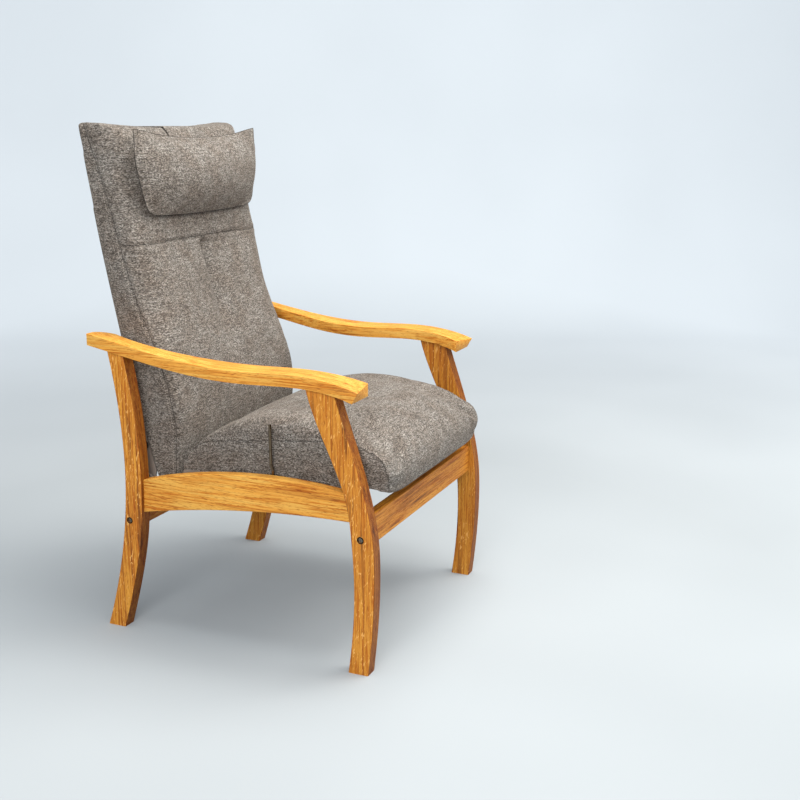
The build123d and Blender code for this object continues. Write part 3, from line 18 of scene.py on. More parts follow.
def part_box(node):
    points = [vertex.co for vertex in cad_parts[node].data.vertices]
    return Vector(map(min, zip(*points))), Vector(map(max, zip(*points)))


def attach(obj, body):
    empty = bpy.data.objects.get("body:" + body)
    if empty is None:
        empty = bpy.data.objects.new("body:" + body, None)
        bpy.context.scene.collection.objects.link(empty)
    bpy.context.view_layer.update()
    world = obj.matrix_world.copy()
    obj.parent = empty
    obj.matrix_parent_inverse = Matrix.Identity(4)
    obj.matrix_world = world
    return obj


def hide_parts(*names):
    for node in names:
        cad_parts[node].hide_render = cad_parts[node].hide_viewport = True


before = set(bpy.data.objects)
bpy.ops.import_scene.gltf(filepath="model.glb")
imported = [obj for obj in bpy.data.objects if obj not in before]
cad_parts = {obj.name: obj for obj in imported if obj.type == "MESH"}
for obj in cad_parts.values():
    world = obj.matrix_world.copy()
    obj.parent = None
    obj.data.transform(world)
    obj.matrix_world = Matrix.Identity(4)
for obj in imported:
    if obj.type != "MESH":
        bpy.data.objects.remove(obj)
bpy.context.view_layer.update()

# %% [markdown]
# ## Small helpers
#
# A colour picked from a picture is in sRGB, and a shader wants linear light, so one
# function turns a hex code into linear numbers. Another adds a node. Its inputs are
# values or other nodes' outputs, it may have colour stops, and the output that is
# needed comes back, so that a material reads like a short recipe.

# %% Helpers for pieces and materials
def new_piece(name, data):
    """Puts a mesh, a curve, a lamp or a camera into the scene."""
    piece = bpy.data.objects.new(name, data)
    bpy.context.scene.collection.objects.link(piece)
    return piece


def mesh_of(shape, name):
    """Turns an edited shape into a mesh, and frees it."""
    mesh = bpy.data.meshes.new(name)
    shape.to_mesh(mesh)
    shape.free()
    return mesh


def set_all(item, **settings):
    """Gives an item all of these settings, and hands it back."""
    for name, value in settings.items():
        setattr(item, name, value)
    return item


def tone(code):
    """A hex colour in linear light."""
    channels = [int(code[place:place + 2], 16) / 255 for place in (1, 3, 5)]
    linear = [c / 12.92 if c <= 0.04045 else ((c + 0.055) / 1.055) ** 2.4 for c in channels]
    return (*linear, 1.0)


def set_inputs(tree, node, inputs):
    """Gives each input of a node its value, or links it to another node's output."""
    for name, value in inputs.items():
        if isinstance(value, bpy.types.NodeSocket):
            tree.links.new(value, node.inputs[name])
        else:
            node.inputs[name].default_value = value


def add_node(tree, kind, output, inputs=None, stops=(), **settings):
    """Adds a node with its inputs, colour stops and settings, and gives back one of its outputs."""
    made = set_all(tree.nodes.new("ShaderNode" + kind), **settings)
    set_inputs(tree, made, inputs or {})
    if stops:
        band = made.color_ramp
        while len(band.elements) < len(stops):
            band.elements.new(0.5)
        for element, (place, code) in zip(band.elements, stops):
            set_all(element, position=place, color=tone(code))
    return made.outputs[output]


def new_material(name):
    """A material, its node tree and its main shader."""
    material = bpy.data.materials.new(name)
    material.use_nodes = True
    return material, material.node_tree, material.node_tree.nodes["Principled BSDF"]


def tinted(tree, body, pattern, stops, share=1.0):
    """Multiplies a colour by a pattern's own tones, by a share from 0 to 1."""
    shade = add_node(tree, "ValToRGB", "Color", {"Fac": pattern}, stops)
    return add_node(tree, "Mix", 2, {0: share, 6: body, 7: shade}, data_type="RGBA", blend_type="MULTIPLY")


print("white in linear light:", tone("#ffffff")[:3])

# %% [markdown]
# ## Camera
#
# The photograph was taken from about 1.15 m above the floor, well round to the
# sitter's right, with a normal lens. The corners of the legs and arms fix the place
# and the angle: they fall on the same picture points as in the photograph.
# The Standard view transform shows a colour about as it is written, where the default
# one would make the oak and the wool paler.

# %% Place the camera
camera_place = Vector((-2.3568, -1.2939, 1.1486))
camera_aim = Vector((0.8914, 0.3878, -0.2345))
lens = set_all(bpy.data.cameras.new("camera"), lens=51.73, sensor_width=36)
turned = camera_aim.to_track_quat("-Z", "Y").to_euler()
camera = set_all(new_piece("camera", lens), location=camera_place, rotation_euler=turned)
bpy.context.scene.camera = camera
bpy.context.scene.view_settings.view_transform = "Standard"
print("camera is", round(camera_place.length, 2), "m from the floor under the chair")

# %% [markdown]
# ## The release cable
#
# A thin cable runs from the lever to the gas spring. It hides under the seat in one
# loose curve: straight out of its stop, across under the seat, and into the release
# head. Its housing is 5 mm thick and stiff, and both ends are held. A NURBS line is
# the natural way to draw it, because it bends smoothly between a few points. Those
# points are given as shares of the way from the stop to the head.

# %% Lay the release cable
cable_start = Vector((-0.287, -0.04295, 0.352))
cable_reach = Vector((0.2776, 0.0815, -0.027))
cable_radius = 0.0025
cable_route_shares = (
    (0.0, 0.0, 0.0),
    (0.0, 0.27, 0.0),
    (0.0144, 0.5645, 0.27),
    (0.0829, 0.8957, 0.6),
    (0.2234, 1.0552, 0.8519),
    (0.4395, 1.0491, 0.963),
    (0.6556, 1.0123, 1.0185),
    (0.8285, 1.0, 1.0),
    (1.0, 1.0, 1.0),
)


def make_cable():
    """The cable's housing as one smooth line through its route. Its points carry its radius."""
    line = bpy.data.curves.new("release_cable_housing", "CURVE")
    set_all(line, dimensions="3D", bevel_depth=1.0, bevel_resolution=3, use_fill_caps=True)
    spline = line.splines.new("NURBS")
    spline.points.add(len(cable_route_shares) - 1)
    for point, shares in zip(spline.points, cable_route_shares):
        place = [start + share * reach for start, share, reach in zip(cable_start, shares, cable_reach)]
        set_all(point, co=(*place, 1.0), radius=cable_radius)
    set_all(spline, order_u=3, use_endpoint_u=True, resolution_u=8)
    return new_piece("release_cable_housing", line)


cable = make_cable()
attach(cable, "frame")
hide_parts("release_cable")

# %% [markdown]
# ## Floor and backdrop
#
# The chair stands on a plain pale floor. The floor runs up into a backdrop, so that
# no line cuts the picture.

# %% Floor and backdrop in one sweep
sweep_radius = 1.2
sweep_reach = 7.0
sweep_behind = 3.5
sweep_width = 18
wall_height = 5


def make_sweep():
    """A floor that curves up into a wall, turned to face the camera."""
    shape = bmesh.new()
    away = Vector((camera_aim.x, camera_aim.y, 0)).normalized()
    across = Vector((-away.y, away.x, 0))
    start = away * -sweep_reach
    ends = [shape.verts.new(start + across * side * sweep_width / 2) for side in (-1, 1)]

    def drawn_on(edges, move):
        """Draws a line of edges out into a strip, and gives its new points and edges."""
        made = bmesh.ops.extrude_edge_only(shape, edges=edges)["geom"]
        verts = [item for item in made if isinstance(item, bmesh.types.BMVert)]
        bmesh.ops.translate(shape, verts=verts, vec=move)
        return verts + [item for item in made if isinstance(item, bmesh.types.BMEdge)]

    line = drawn_on([shape.edges.new(ends)], away * (sweep_reach + sweep_behind))
    centre = away * sweep_behind + Vector((0, 0, sweep_radius))
    bmesh.ops.spin(shape, geom=line, cent=centre, axis=across, angle=-pi / 2, steps=16, use_merge=False)
    top = [vert for vert in shape.verts if vert.co.z > sweep_radius - 0.001]
    rim = [edge for edge in shape.edges if all(vert in top for vert in edge.verts)]
    drawn_on(rim, Vector((0, 0, wall_height)))
    bmesh.ops.recalc_face_normals(shape, faces=shape.faces)
    lowest = min(shape.faces, key=lambda face: face.calc_center_median().z)
    if lowest.normal.z < 0:
        bmesh.ops.reverse_faces(shape, faces=shape.faces)
    mesh = mesh_of(shape, "floor_sweep")
    for face in mesh.polygons:
        face.use_smooth = True
    return new_piece("floor_sweep", mesh)


sweep = make_sweep()
print("sweep of", sweep_width, "m by", sweep_reach + sweep_behind + sweep_radius, "m")

# %% [markdown]
# ## Backdrop paper
#
# A studio sweep is matt paper off a roll. To the camera it looks brighter than the
# lamps make it, and more so away from the chair, as in a studio whose backdrop has
# lights of its own. So the chair can be lit softly, little light bounces up under it,
# and its shadow on the floor stays. From behind and from below the paper is clear, so
# that the chair can be looked at all round.

# %% The paper of the sweep
paper_near_lift = 0.1
paper_far_lift = 0.6
paper_lift_starts = 1.3
paper_lift_ends = 4.3


def make_paper():
    paper, tree, shader = new_material("matt_backdrop_paper")
    spot = add_node(tree, "TexCoord", "Object")
    reach = add_node(tree, "VectorMath", "Value", {0: spot}, operation="LENGTH")
    span = {"From Min": paper_lift_starts, "From Max": paper_lift_ends}
    lifts = {"To Min": paper_near_lift, "To Max": paper_far_lift}
    lift = add_node(tree, "MapRange", "Result", {"Value": reach, **span, **lifts})
    seen = add_node(tree, "LightPath", "Is Camera Ray")
    glow = add_node(tree, "Math", "Value", {0: seen, 1: lift}, operation="MULTIPLY")
    cloud = add_node(tree, "TexNoise", "Fac", {"Vector": spot, "Scale": 0.8, "Detail": 2.0})
    body = add_node(tree, "ValToRGB", "Color", {"Fac": cloud}, [(0.3, "#969ca0"), (0.7, "#9fa5a9")])
    set_inputs(tree, shader, {
        "Base Color": body, "Roughness": 0.9, "Specular IOR Level": 0.2,
        "Emission Color": tone("#e2ebf3"), "Emission Strength": glow,
    })
    behind = add_node(tree, "NewGeometry", "Backfacing")
    clear = add_node(tree, "BsdfTransparent", "BSDF")
    either = add_node(tree, "MixShader", "Shader", {0: behind, 1: shader.outputs["BSDF"], 2: clear})
    set_inputs(tree, tree.nodes["Material Output"], {"Surface": either})
    return paper


sweep.data.materials.append(make_paper())
print("the paper glows from", paper_near_lift, "near the chair to", paper_far_lift)

# %% [markdown]
# ## Light
#
# The light is soft and comes mostly from above, as in a studio with a skylight and two
# windows, and the world fills in the shaded side. To the camera the world is brighter
# than it is to the chair.

# %% World and lamps
world_fill = 0.54
world_shown = 0.85

world = bpy.data.worlds.new("studio")
world.use_nodes = True
bpy.context.scene.world = world
seen = add_node(world.node_tree, "LightPath", "Is Camera Ray")
span = {"To Min": world_fill, "To Max": world_shown}
strength = add_node(world.node_tree, "MapRange", "Result", {"Value": seen, **span})
set_inputs(
    world.node_tree, world.node_tree.nodes["Background"], {"Color": tone("#e8edf3"), "Strength": strength}
)


def add_lamp(name, place, aim, size, watts, colour):
    light = bpy.data.lights.new(name, "AREA")
    set_all(light, shape="RECTANGLE", size=size[0], size_y=size[1], energy=watts, color=tone(colour)[:3])
    turned = (Vector(aim) - Vector(place)).to_track_quat("-Z", "Y").to_euler()
    set_all(new_piece(name, light), location=place, rotation_euler=turned)


add_lamp("skylight", (0.3, -0.8, 3.9), (0, 0, 0.4), (2.8, 2.8), 208, "#fffcf6")
add_lamp("window", (1.4, -3.0, 2.7), (0, 0, 0.5), (2.4, 1.8), 84, "#fffaf2")
add_lamp("side_window", (-3.4, -1.0, 2.0), (0, 0, 0.6), (2.0, 1.8), 108, "#fffdfa")

# %% [markdown]
# ## Oak
#
# The frame is solid oak, sanded and finished with a thin satin lacquer. Three things
# make oak look like oak. The growth rings give broad light and dark stripes along
# the grain, 5 to 12 mm apart. The open pores give short dark dashes in the rings.
# Where the cut crosses the rays, pale flecks 1 to 3 mm wide wander over the face.
# All three are solid patterns in object space, so they wrap round every edge as they
# do in a real plank. Each piece gets its own direction and its own place in the tree.
# The front faces of the legs are cut along the rings, which show there as arches drawn
# out along the leg. These faces are also darkened as a whole, as painted shade.

# %% The oak material
# Each pattern has its length and its width, in metres.
oak_ring = (0.26, 0.009)
oak_line = (0.11, 0.0032)
oak_pore = (0.014, 0.0009)
oak_ray = (0.034, 0.0045)
oak_arch = (0.12, 0.013)
arch_height = 0.16
ray_slant = radians(13)
grain_turns = {"X": (0, 0, 0), "Y": (0, 0, -pi / 2), "Z": (0, pi / 2, 0)}


def make_oak(name, grain, seed, light, middle, dark, flecks=0.0, bend=0.0, arches_and_shade=0.0):
    """Satin-lacquered oak with its grain along X, Y or Z, and flecks and arches from 0 to 1.
    The arches come with painted shade that darkens the faces looking forward.
    """
    oak, tree, shader = new_material(name)
    spot = add_node(tree, "TexCoord", "Object")
    lie = {"Rotation": grain_turns[grain], "Location": (seed, 0.37 * seed, 0.61 * seed)}
    laid = add_node(tree, "Mapping", "Vector", {"Vector": spot, **lie})

    def drawn_out(size, slant=0.0, **look):
        """A pattern of a real size, along the grain or slanting to it."""
        turned = add_node(tree, "Mapping", "Vector", {"Vector": laid, "Rotation": (0, slant, slant)})
        scale = (1 / size[0], 1 / size[1], 1 / size[1])
        spread = add_node(tree, "Mapping", "Vector", {"Vector": turned, "Scale": scale})
        return add_node(tree, "TexNoise", "Fac", {"Vector": spread, "Scale": 1.0, **look})

    rings = drawn_out(oak_ring, Detail=3.0, Roughness=0.55, Distortion=0.25 + bend)
    lines = drawn_out(oak_line, Detail=2.0, Roughness=0.6, Distortion=0.1)
    pores = drawn_out(oak_pore, Detail=1.0)
    drift = add_node(tree, "TexNoise", "Fac", {"Vector": laid, "Scale": 5.0, "Detail": 1.0})
    body = add_node(tree, "ValToRGB", "Color", {"Fac": rings}, [(0.3, dark), (0.44, middle), (0.6, light)])
    body = tinted(tree, body, lines, [(0.36, "#dcb985"), (0.5, "#ffffff")])
    body = tinted(tree, body, pores, [(0.3, "#a97b4a"), (0.42, "#ffffff")], 0.8)
    body = tinted(tree, body, drift, [(0.35, "#f1e8dc"), (0.65, "#ffffff")])
    if flecks:
        rays = drawn_out(oak_ray, ray_slant, Detail=1.0, Roughness=0.5, Distortion=1.3)
        span = {"From Min": 0.62, "From Max": 0.72, "To Max": flecks}
        shown = add_node(tree, "MapRange", "Result", {"Value": rays, **span})
        body = add_node(tree, "Mix", 2, {0: shown, 6: body, 7: tone("#eab465")}, data_type="RGBA")
    if arches_and_shade:
        centre = (seed * 0.01, 0.0, -arch_height)
        scale = (1 / oak_arch[1], 1 / oak_arch[1], 1 / oak_arch[0])
        moved = add_node(tree, "Mapping", "Vector", {"Vector": spot, "Location": centre})
        spread = add_node(tree, "Mapping", "Vector", {"Vector": moved, "Scale": scale})
        look = {"Scale": 1.0, "Distortion": 2.5, "Detail": 2.0, "Detail Scale": 1.0}
        arcs = add_node(
            tree, "TexWave", "Fac", {"Vector": spread, **look}, wave_type="RINGS", rings_direction="Y"
        )
        # Painted shade: where a face looks forward, the arch tones darken all of it, not only the rings.
        facing = add_node(tree, "SeparateXYZ", "Y", {"Vector": add_node(tree, "TexCoord", "Normal")})
        span = {"From Min": -0.5, "From Max": -0.8, "To Max": arches_and_shade}
        front = add_node(tree, "MapRange", "Result", {"Value": facing, **span})
        body = tinted(tree, body, arcs, [(0.25, "#9c866c"), (0.7, "#cdbba0")], front)
    span = {"From Min": 0.3, "From Max": 0.6, "To Min": 0.62, "To Max": 0.48}
    gloss = add_node(tree, "MapRange", "Result", {"Value": pores, **span})
    relief = add_node(tree, "Bump", "Normal", {"Height": pores, "Strength": 0.25, "Distance": 0.0004})
    set_inputs(
        tree, shader, {"Base Color": body, "Roughness": gloss, "Specular IOR Level": 0.25, "Normal": relief}
    )
    return oak


def finish_node(name, material):
    """Gives a piece of the frame its finish."""
    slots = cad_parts[name].data.materials
    slots.clear()
    slots.append(material)


print("oak rings are about", oak_ring[1] * 1000, "mm apart")

# %% Oak for each piece of the frame
oak_light = ("#dfac52", "#de9e40", "#b77b2f")
oak_warm = ("#d39539", "#c27d29", "#7e4d1b")
oak_pieces = {
    # grain, place in the tree, tones, ray flecks, bend of the rings, arches with painted shade on front faces
    "arm_right": ("Y", 0.3, *oak_light, 0.0, 0.2, 0.0),
    "arm_left": ("Y", 1.9, *oak_light, 0.0, 0.2, 0.0),
    "side_rail_right": ("Y", 4.1, *oak_light, 0.0, 0.5, 0.0),
    "side_rail_left": ("Y", 5.3, *oak_light, 0.0, 0.5, 0.0),
    "front_rail": ("X", 6.7, *oak_warm, 0.15, 0.2, 0.0),
    "rear_rail": ("X", 7.9, *oak_warm, 0.15, 0.2, 0.0),
    "front_leg_right": ("Z", 8.6, *oak_warm, 0.75, 0.7, 1.0),
    "front_leg_left": ("Z", 9.7, *oak_warm, 0.6, 0.7, 1.0),
    "rear_leg_right": ("Z", 2.5, *oak_warm, 0.75, 0.7, 1.0),
    "rear_leg_left": ("Z", 3.2, *oak_warm, 0.6, 0.7, 1.0),
}
for name, look in oak_pieces.items():
    finish_node(name, make_oak("lacquered_oak_" + name, *look))
print("oak pieces:", len(oak_pieces))

# %% [markdown]
# ## Edges of the arms
#
# A sharp corner never looks like wood, because sanding takes it off and the lacquer
# gathers on it. The arms are rounded by 4 mm, as hands expect. The frame's mesh is
# loose triangles, so it is welded first and its flat faces are joined, and only then
# can a bevel find the true edges. The thin cloth pieces further on use the same means.

# %% Round the edges
arm_rounding = 0.004
weld_within = 0.00002


def ease_edges(piece, width, flat_within, sharp_from):
    """Joins the flat faces of a piece and rounds its sharp edges, with live modifiers."""
    flat = piece.modifiers.new("flat faces", "DECIMATE")
    set_all(flat, decimate_type="DISSOLVE", angle_limit=radians(flat_within))
    eased = piece.modifiers.new("eased edges", "BEVEL")
    return set_all(eased, width=width, segments=3, limit_method="ANGLE", angle_limit=radians(sharp_from))


for side in ("right", "left"):
    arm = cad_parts["arm_" + side]
    set_all(arm.modifiers.new("weld", "WELD"), merge_threshold=weld_within)
    ease_edges(arm, arm_rounding, 0.6, 35).harden_normals = True
    for face in arm.data.polygons:
        face.use_smooth = True
print("arms rounded by", arm_rounding * 1000, "mm")

# %% [markdown]
# ## Steel and plastic
#
# The bolts are zinc-plated steel with a slot, sunk in the legs. The release lever is
# bent from a polished round bar; its warm brown tone is a painted reflection of the oak
# round it. The cross bars under the seat are black-lacquered steel, and the springs are
# drawn wire. The plates that join the seat to the back are coated in the cloth's own
# taupe, so they don't show. Bare metals share one recipe and coated ones another,
# because only the colours, the gloss and the size of the marks differ.

# %% Metals and plastics
def make_metal(name, colours, roughness, grit, streak=1.0):
    """A bare or plated metal with fine scratches of a real size, in metres."""
    metal, tree, shader = new_material(name)
    spot = add_node(tree, "TexCoord", "Object")
    scale = (1 / grit, 1 / grit, 1 / (grit * streak))
    spread = add_node(tree, "Mapping", "Vector", {"Vector": spot, "Scale": scale})
    marks = add_node(tree, "TexNoise", "Fac", {"Vector": spread, "Scale": 1.0, "Detail": 3.0})
    body = add_node(tree, "ValToRGB", "Color", {"Fac": marks}, [*zip((0.3, 0.7), colours)])
    span = {"From Min": 0.3, "From Max": 0.7, "To Min": roughness * 0.8, "To Max": roughness * 1.3}
    gloss = add_node(tree, "MapRange", "Result", {"Value": marks, **span})
    relief = add_node(tree, "Bump", "Normal", {"Height": marks, "Strength": 0.08, "Distance": 0.0002})
    set_inputs(tree, shader, {"Base Color": body, "Metallic": 1.0, "Roughness": gloss, "Normal": relief})
    return metal


def make_coated(name, colours, roughness, grain):
    """Lacquered steel, moulded plastic or thin cloth, with a faint texture of a real size, in metres."""
    coated, tree, shader = new_material(name)
    spot = add_node(tree, "TexCoord", "Object")
    dots = add_node(tree, "TexNoise", "Fac", {"Vector": spot, "Scale": 1 / grain, "Detail": 2.0})
    body = add_node(tree, "ValToRGB", "Color", {"Fac": dots}, [*zip((0.3, 0.7), colours)])
    relief = add_node(tree, "Bump", "Normal", {"Height": dots, "Strength": 0.15, "Distance": 0.0002})
    set_inputs(
        tree, shader, {"Base Color": body, "Roughness": roughness, "Coat Weight": 0.1, "Normal": relief}
    )
    return coated


print("metals and coatings have their recipes")

# %% Each metal and plastic piece
finishes = [
    # Zinc plate is a dull grey with fine scratches.
    (make_metal("zinc_plated_steel", ("#6f6a62", "#979187"), 0.3, 0.0008), [
        "frame_bolts", "barrel_nuts", "cross_bar_screws", "hinge_screws", "follower_bolts", "follower_pins",
        "pivot_pins", "gas_front_pin", "gas_rear_pin", "lever_screw",
    ]),
    # Polishing along the bar leaves long fine streaks in a dark, glossy surface.
    # Its warm brown tint is a painted reflection of the oak round it.
    (make_metal("polished_steel_painted_oak_reflection", ("#5a4d3f", "#84745f"), 0.14, 0.0006, 12), ["release_lever"]),
    # Drawn wire keeps a dull grey skin.
    (make_metal("drawn_spring_wire", ("#5f5c58", "#8b8781"), 0.4, 0.0006), ["seat_springs", "release_wire"]),
    # Hard chrome is ground along the rod, so it is the brightest metal under the seat.
    (make_metal("hard_chromed_rod", ("#c9cbce", "#e6e8ea"), 0.08, 0.0005, 20), ["gas_rod"]),
    # Baked lacquer hides the steel under a satin black with a faint orange peel.
    (make_coated("black_lacquered_steel", ("#1c1c1d", "#29292a"), 0.45, 0.0011), [
        "front_cross_bar", "rear_cross_bar", "gas_spring_bracket", "gas_spring_yoke", "gas_cylinder",
        "release_head", "cable_stop",
    ]),
    # Baked powder gives an even matt skin.
    (make_coated("taupe_powder_coated_steel", ("#7a7068", "#857b73"), 0.7, 0.0008), [
        "hinge_plate_left", "hinge_plate_right", "follower_bar_left", "follower_bar_right",
    ]),
    # Nylon takes a matt black surface from its mould.
    (make_coated("moulded_black_nylon", ("#151515", "#232322"), 0.55, 0.0007), [
        "guide_blocks", "pivot_spacers",
    ]),
]
for material, names in finishes:
    for name in names:
        finish_node(name, material)
# The sheath is extruded vinyl, black and a little glossier than the nylon.
cable.data.materials.append(make_coated("black_cable_sheath", ("#111111", "#1d1d1d"), 0.4, 0.0009))
print("metal and plastic pieces:", sum(len(names) for _, names in finishes))

# %% [markdown]
# ## Cups round the bolts
#
# Each bolt sits in a pressed steel cup, which shows as a dark ring round the head.
# Its dark colour is painted shade, standing for the shade in the recess round the head.
# A ring could be cut from a cylinder, but it is quicker to draw its section, four
# points in all, and to spin that once round the bolt. The place of each bolt is read
# from the frame itself, so the rings always sit where the bolts are.

# %% The four bolt cups
cup_inner = 0.0053
cup_outer = 0.0082
cup_rise = 0.0007
cup_sunk = 0.0002


def bolt_spots():
    """The middle of each bolt head, at the outer face of its leg, and its side."""
    face = max(abs(bound.x) for bound in map(Vector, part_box("front_leg_right")))
    heads = {}
    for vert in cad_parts["frame_bolts"].data.vertices:
        side = 1 if vert.co.x > 0 else -1
        heads.setdefault((side, vert.co.y > 0), []).append(vert.co)
    spots = []
    for (side, _), corners in heads.items():
        middle = [(min(spot[n] for spot in corners) + max(spot[n] for spot in corners)) / 2 for n in (1, 2)]
        spots.append((Vector((side * face, *middle)), side))
    return spots


def make_bolt_cups():
    shape = bmesh.new()
    bore = [(cup_inner, -cup_sunk), (cup_inner, cup_rise)]
    section = [*bore, (cup_outer - cup_rise, cup_rise), (cup_outer, -cup_sunk)]
    for middle, side in bolt_spots():
        line = [shape.verts.new(middle + Vector((side * rise, 0, far))) for far, rise in section]
        edges = [shape.edges.new((line[n - 1], line[n])) for n in range(len(line))]
        bmesh.ops.spin(
            shape, geom=line + edges, cent=middle, axis=(1, 0, 0), angle=2 * pi, steps=40, use_merge=True
        )
    bmesh.ops.remove_doubles(shape, verts=shape.verts, dist=0.00001)
    bmesh.ops.recalc_face_normals(shape, faces=shape.faces)
    return new_piece("bolt_cups", mesh_of(shape, "bolt_cups"))


bolt_cups = make_bolt_cups()
# The cup's dark brown is painted shade for the recess round each bolt head.
bolt_cups.data.materials.append(make_metal("dark_cup_painted_recess_shade", ("#2f271d", "#4a3f30"), 0.35, 0.0006))
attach(bolt_cups, "frame")
print("bolt cups:", len(bolt_spots()), "of", 2 * cup_outer * 1000, "mm")

# %% [markdown]
# ## Beech
#
# The boards inside the seat and the back are beech. It is paler and plainer than oak,
# with short dark flecks a few millimetres long and no open pores.

# %% The beech material
# Both scales count waves in a metre: along the grain, and twice across it.
beech_ring_scale = (4, 120, 120)
beech_fleck_scale = (230, 900, 900)


def make_beech(name, grain, seed):
    beech, tree, shader = new_material(name)
    spot = add_node(tree, "TexCoord", "Object")
    lie = {"Rotation": grain_turns[grain], "Location": (seed, seed, seed)}
    laid = add_node(tree, "Mapping", "Vector", {"Vector": spot, **lie})

    def drawn_out(scale, detail):
        spread = add_node(tree, "Mapping", "Vector", {"Vector": laid, "Scale": scale})
        return add_node(tree, "TexNoise", "Fac", {"Vector": spread, "Scale": 1.0, "Detail": detail})

    rings = drawn_out(beech_ring_scale, 2.0)
    body = add_node(tree, "ValToRGB", "Color", {"Fac": rings}, [(0.3, "#c99a6c"), (0.7, "#dcb489")])
    body = tinted(tree, body, drawn_out(beech_fleck_scale, 0.0), [(0.3, "#b58a66"), (0.4, "#ffffff")], 0.7)
    set_inputs(tree, shader, {"Base Color": body, "Roughness": 0.6})
    return beech


beech_pieces = {
    "Y": ["seat_frame_side_left", "seat_frame_side_right", "seat_runner_left", "seat_runner_right"],
    "X": ["seat_frame_front", "seat_frame_rear", "back_bottom_rail", "back_middle_rail", "back_top_rail"],
    "Z": ["back_stile_left", "back_stile_right", "rail_dowels", "arm_dowels"],
}
for number, (grain, names) in enumerate(beech_pieces.items()):
    beech = make_beech("planed_beech_grain_" + grain, grain, number + 0.4)
    for name in names:
        finish_node(name, beech)
print("beech pieces:", sum(len(names) for names in beech_pieces.values()))

# %% [markdown]
# ## The woven wool
#
# The cover is a plain weave of melange yarn: each thread is spun from dark, middle and
# pale fibres, so the cloth looks grey-brown from afar and salt-and-pepper from near.
# The flecks are about 2.6 mm long and 1.6 mm wide, and the yarn is 1.2 mm thick. The
# pattern follows the surface through a UV map that is laid out in metres, and the tone
# of the flecks comes from cells, which have one random grey each.

# %% The cloth material
yarn = 0.0012
fleck_length = 0.0026
fleck_width = 0.0016
streak_length = 0.03
streak_width = 0.0035
patch_size = 0.05
# At a scale of 1 a band texture turns 20 radians in one unit, so this gives one wave.
one_wave = 2 * pi / 20
wool_tones = [
    (0.0, "#46423e"), (0.2, "#5a5652"), (0.45, "#726d68"),
    (0.72, "#88837d"), (0.93, "#9d9892"), (1.0, "#b0aba5"),
]


def make_wool():
    wool, tree, shader = new_material("woven_melange_wool")
    cloth_map = add_node(tree, "UVMap", "UV", uv_map="weave")

    def laid(width, height):
        """The place on the cloth, counted in lengths and widths of a mark."""
        scale = (1 / width, 1 / height, 1.0)
        return add_node(tree, "Mapping", "Vector", {"Vector": cloth_map, "Scale": scale})

    def clouds(detail, width, height):
        look = {"Vector": laid(width, height), "Scale": 1.0, "Detail": detail}
        return add_node(tree, "TexNoise", "Fac", look, noise_dimensions="2D")

    cells = {"Vector": laid(fleck_length, fleck_width), "Scale": 1.0, "Randomness": 1.0}
    flecks = add_node(tree, "TexVoronoi", "Color", cells, voronoi_dimensions="2D")
    grey = add_node(tree, "SeparateColor", "Red", {"Color": flecks})
    body = add_node(tree, "ValToRGB", "Color", {"Fac": grey}, wool_tones)
    streaks = clouds(3.0, streak_length, streak_width)
    body = tinted(tree, body, streaks, [(0.3, "#d6d2ce"), (0.65, "#ffffff")])
    patches = clouds(2.0, patch_size, patch_size)
    body = tinted(tree, body, patches, [(0.3, "#e6dfda"), (0.7, "#ffffff")])
    threads = []
    for direction, size in (("X", yarn), ("Y", yarn * 1.15)):
        look = {"Vector": laid(size, size), "Scale": one_wave, "Distortion": 0.6, "Detail": 1.0}
        threads.append(add_node(tree, "TexWave", "Fac", look, bands_direction=direction))
    weave = add_node(tree, "Math", "Value", {0: threads[0], 1: threads[1]}, operation="MULTIPLY")
    rough = add_node(tree, "Math", "Value", {0: weave, 1: grey}, operation="ADD")
    relief = add_node(tree, "Bump", "Normal", {"Height": rough, "Strength": 0.55, "Distance": 0.0006})
    set_inputs(tree, shader, {
        "Base Color": body, "Roughness": 0.95, "Specular IOR Level": 0.25, "Normal": relief,
        "Sheen Weight": 0.18, "Sheen Roughness": 0.5, "Sheen Tint": tone("#cfc6bb"),
    })
    return wool


wool = make_wool()
print("one fleck covers", round(fleck_length * fleck_width * 1e6, 1), "square millimetres")

# %% [markdown]
# ## From a plain solid to a stuffed cushion
#
# Each cushion starts as a copy of its solid in the frame. The copy is remeshed into an
# even net of small squares, pulled in a few millimetres, and blown up from inside by
# the cloth solver while its seams and the places where it lies on wood are held fast.
# The filling presses the cover out between the seams, as foam and wadding do.

# %% Helpers for soft pieces
# The weave starts elsewhere on each side of a piece, by this much across and along.
side_shift = (0.37, 0.19)
wool_rules = {
    "quality": 6, "mass": 0.25, "tension_stiffness": 12, "compression_stiffness": 12,
    "shear_stiffness": 6, "bending_stiffness": 0.4, "use_pressure": True, "vertex_group_mass": "held",
}


def apply_modifiers(piece):
    """Replaces the mesh by what its modifiers make of it, and drops them."""
    whole = piece.evaluated_get(bpy.context.evaluated_depsgraph_get())
    made = bpy.data.meshes.new_from_object(whole)
    piece.modifiers.clear()
    piece.data = made


def copied(node, name, plugs=()):
    """A merged copy of a solid, with closed plugs put in its hollows."""
    shape = bmesh.new()
    shape.from_mesh(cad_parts[node].data)
    bmesh.ops.remove_doubles(shape, verts=shape.verts, dist=weld_within)
    for plug in plugs:
        shape.from_mesh(plug)
    return new_piece(name, mesh_of(shape, name))


def remeshed(piece, voxel, lean=0.0, rounds=3):
    """An even net of squares, laid square to a piece that leans back, and smoothed a little."""
    upright = Matrix.Rotation(lean, 4, "X")
    piece.data.transform(upright)
    set_all(piece.modifiers.new("skin", "REMESH"), mode="VOXEL", voxel_size=voxel)
    set_all(piece.modifiers.new("ease", "SMOOTH"), factor=0.5, iterations=rounds)
    apply_modifiers(piece)
    piece.data.transform(upright.inverted())


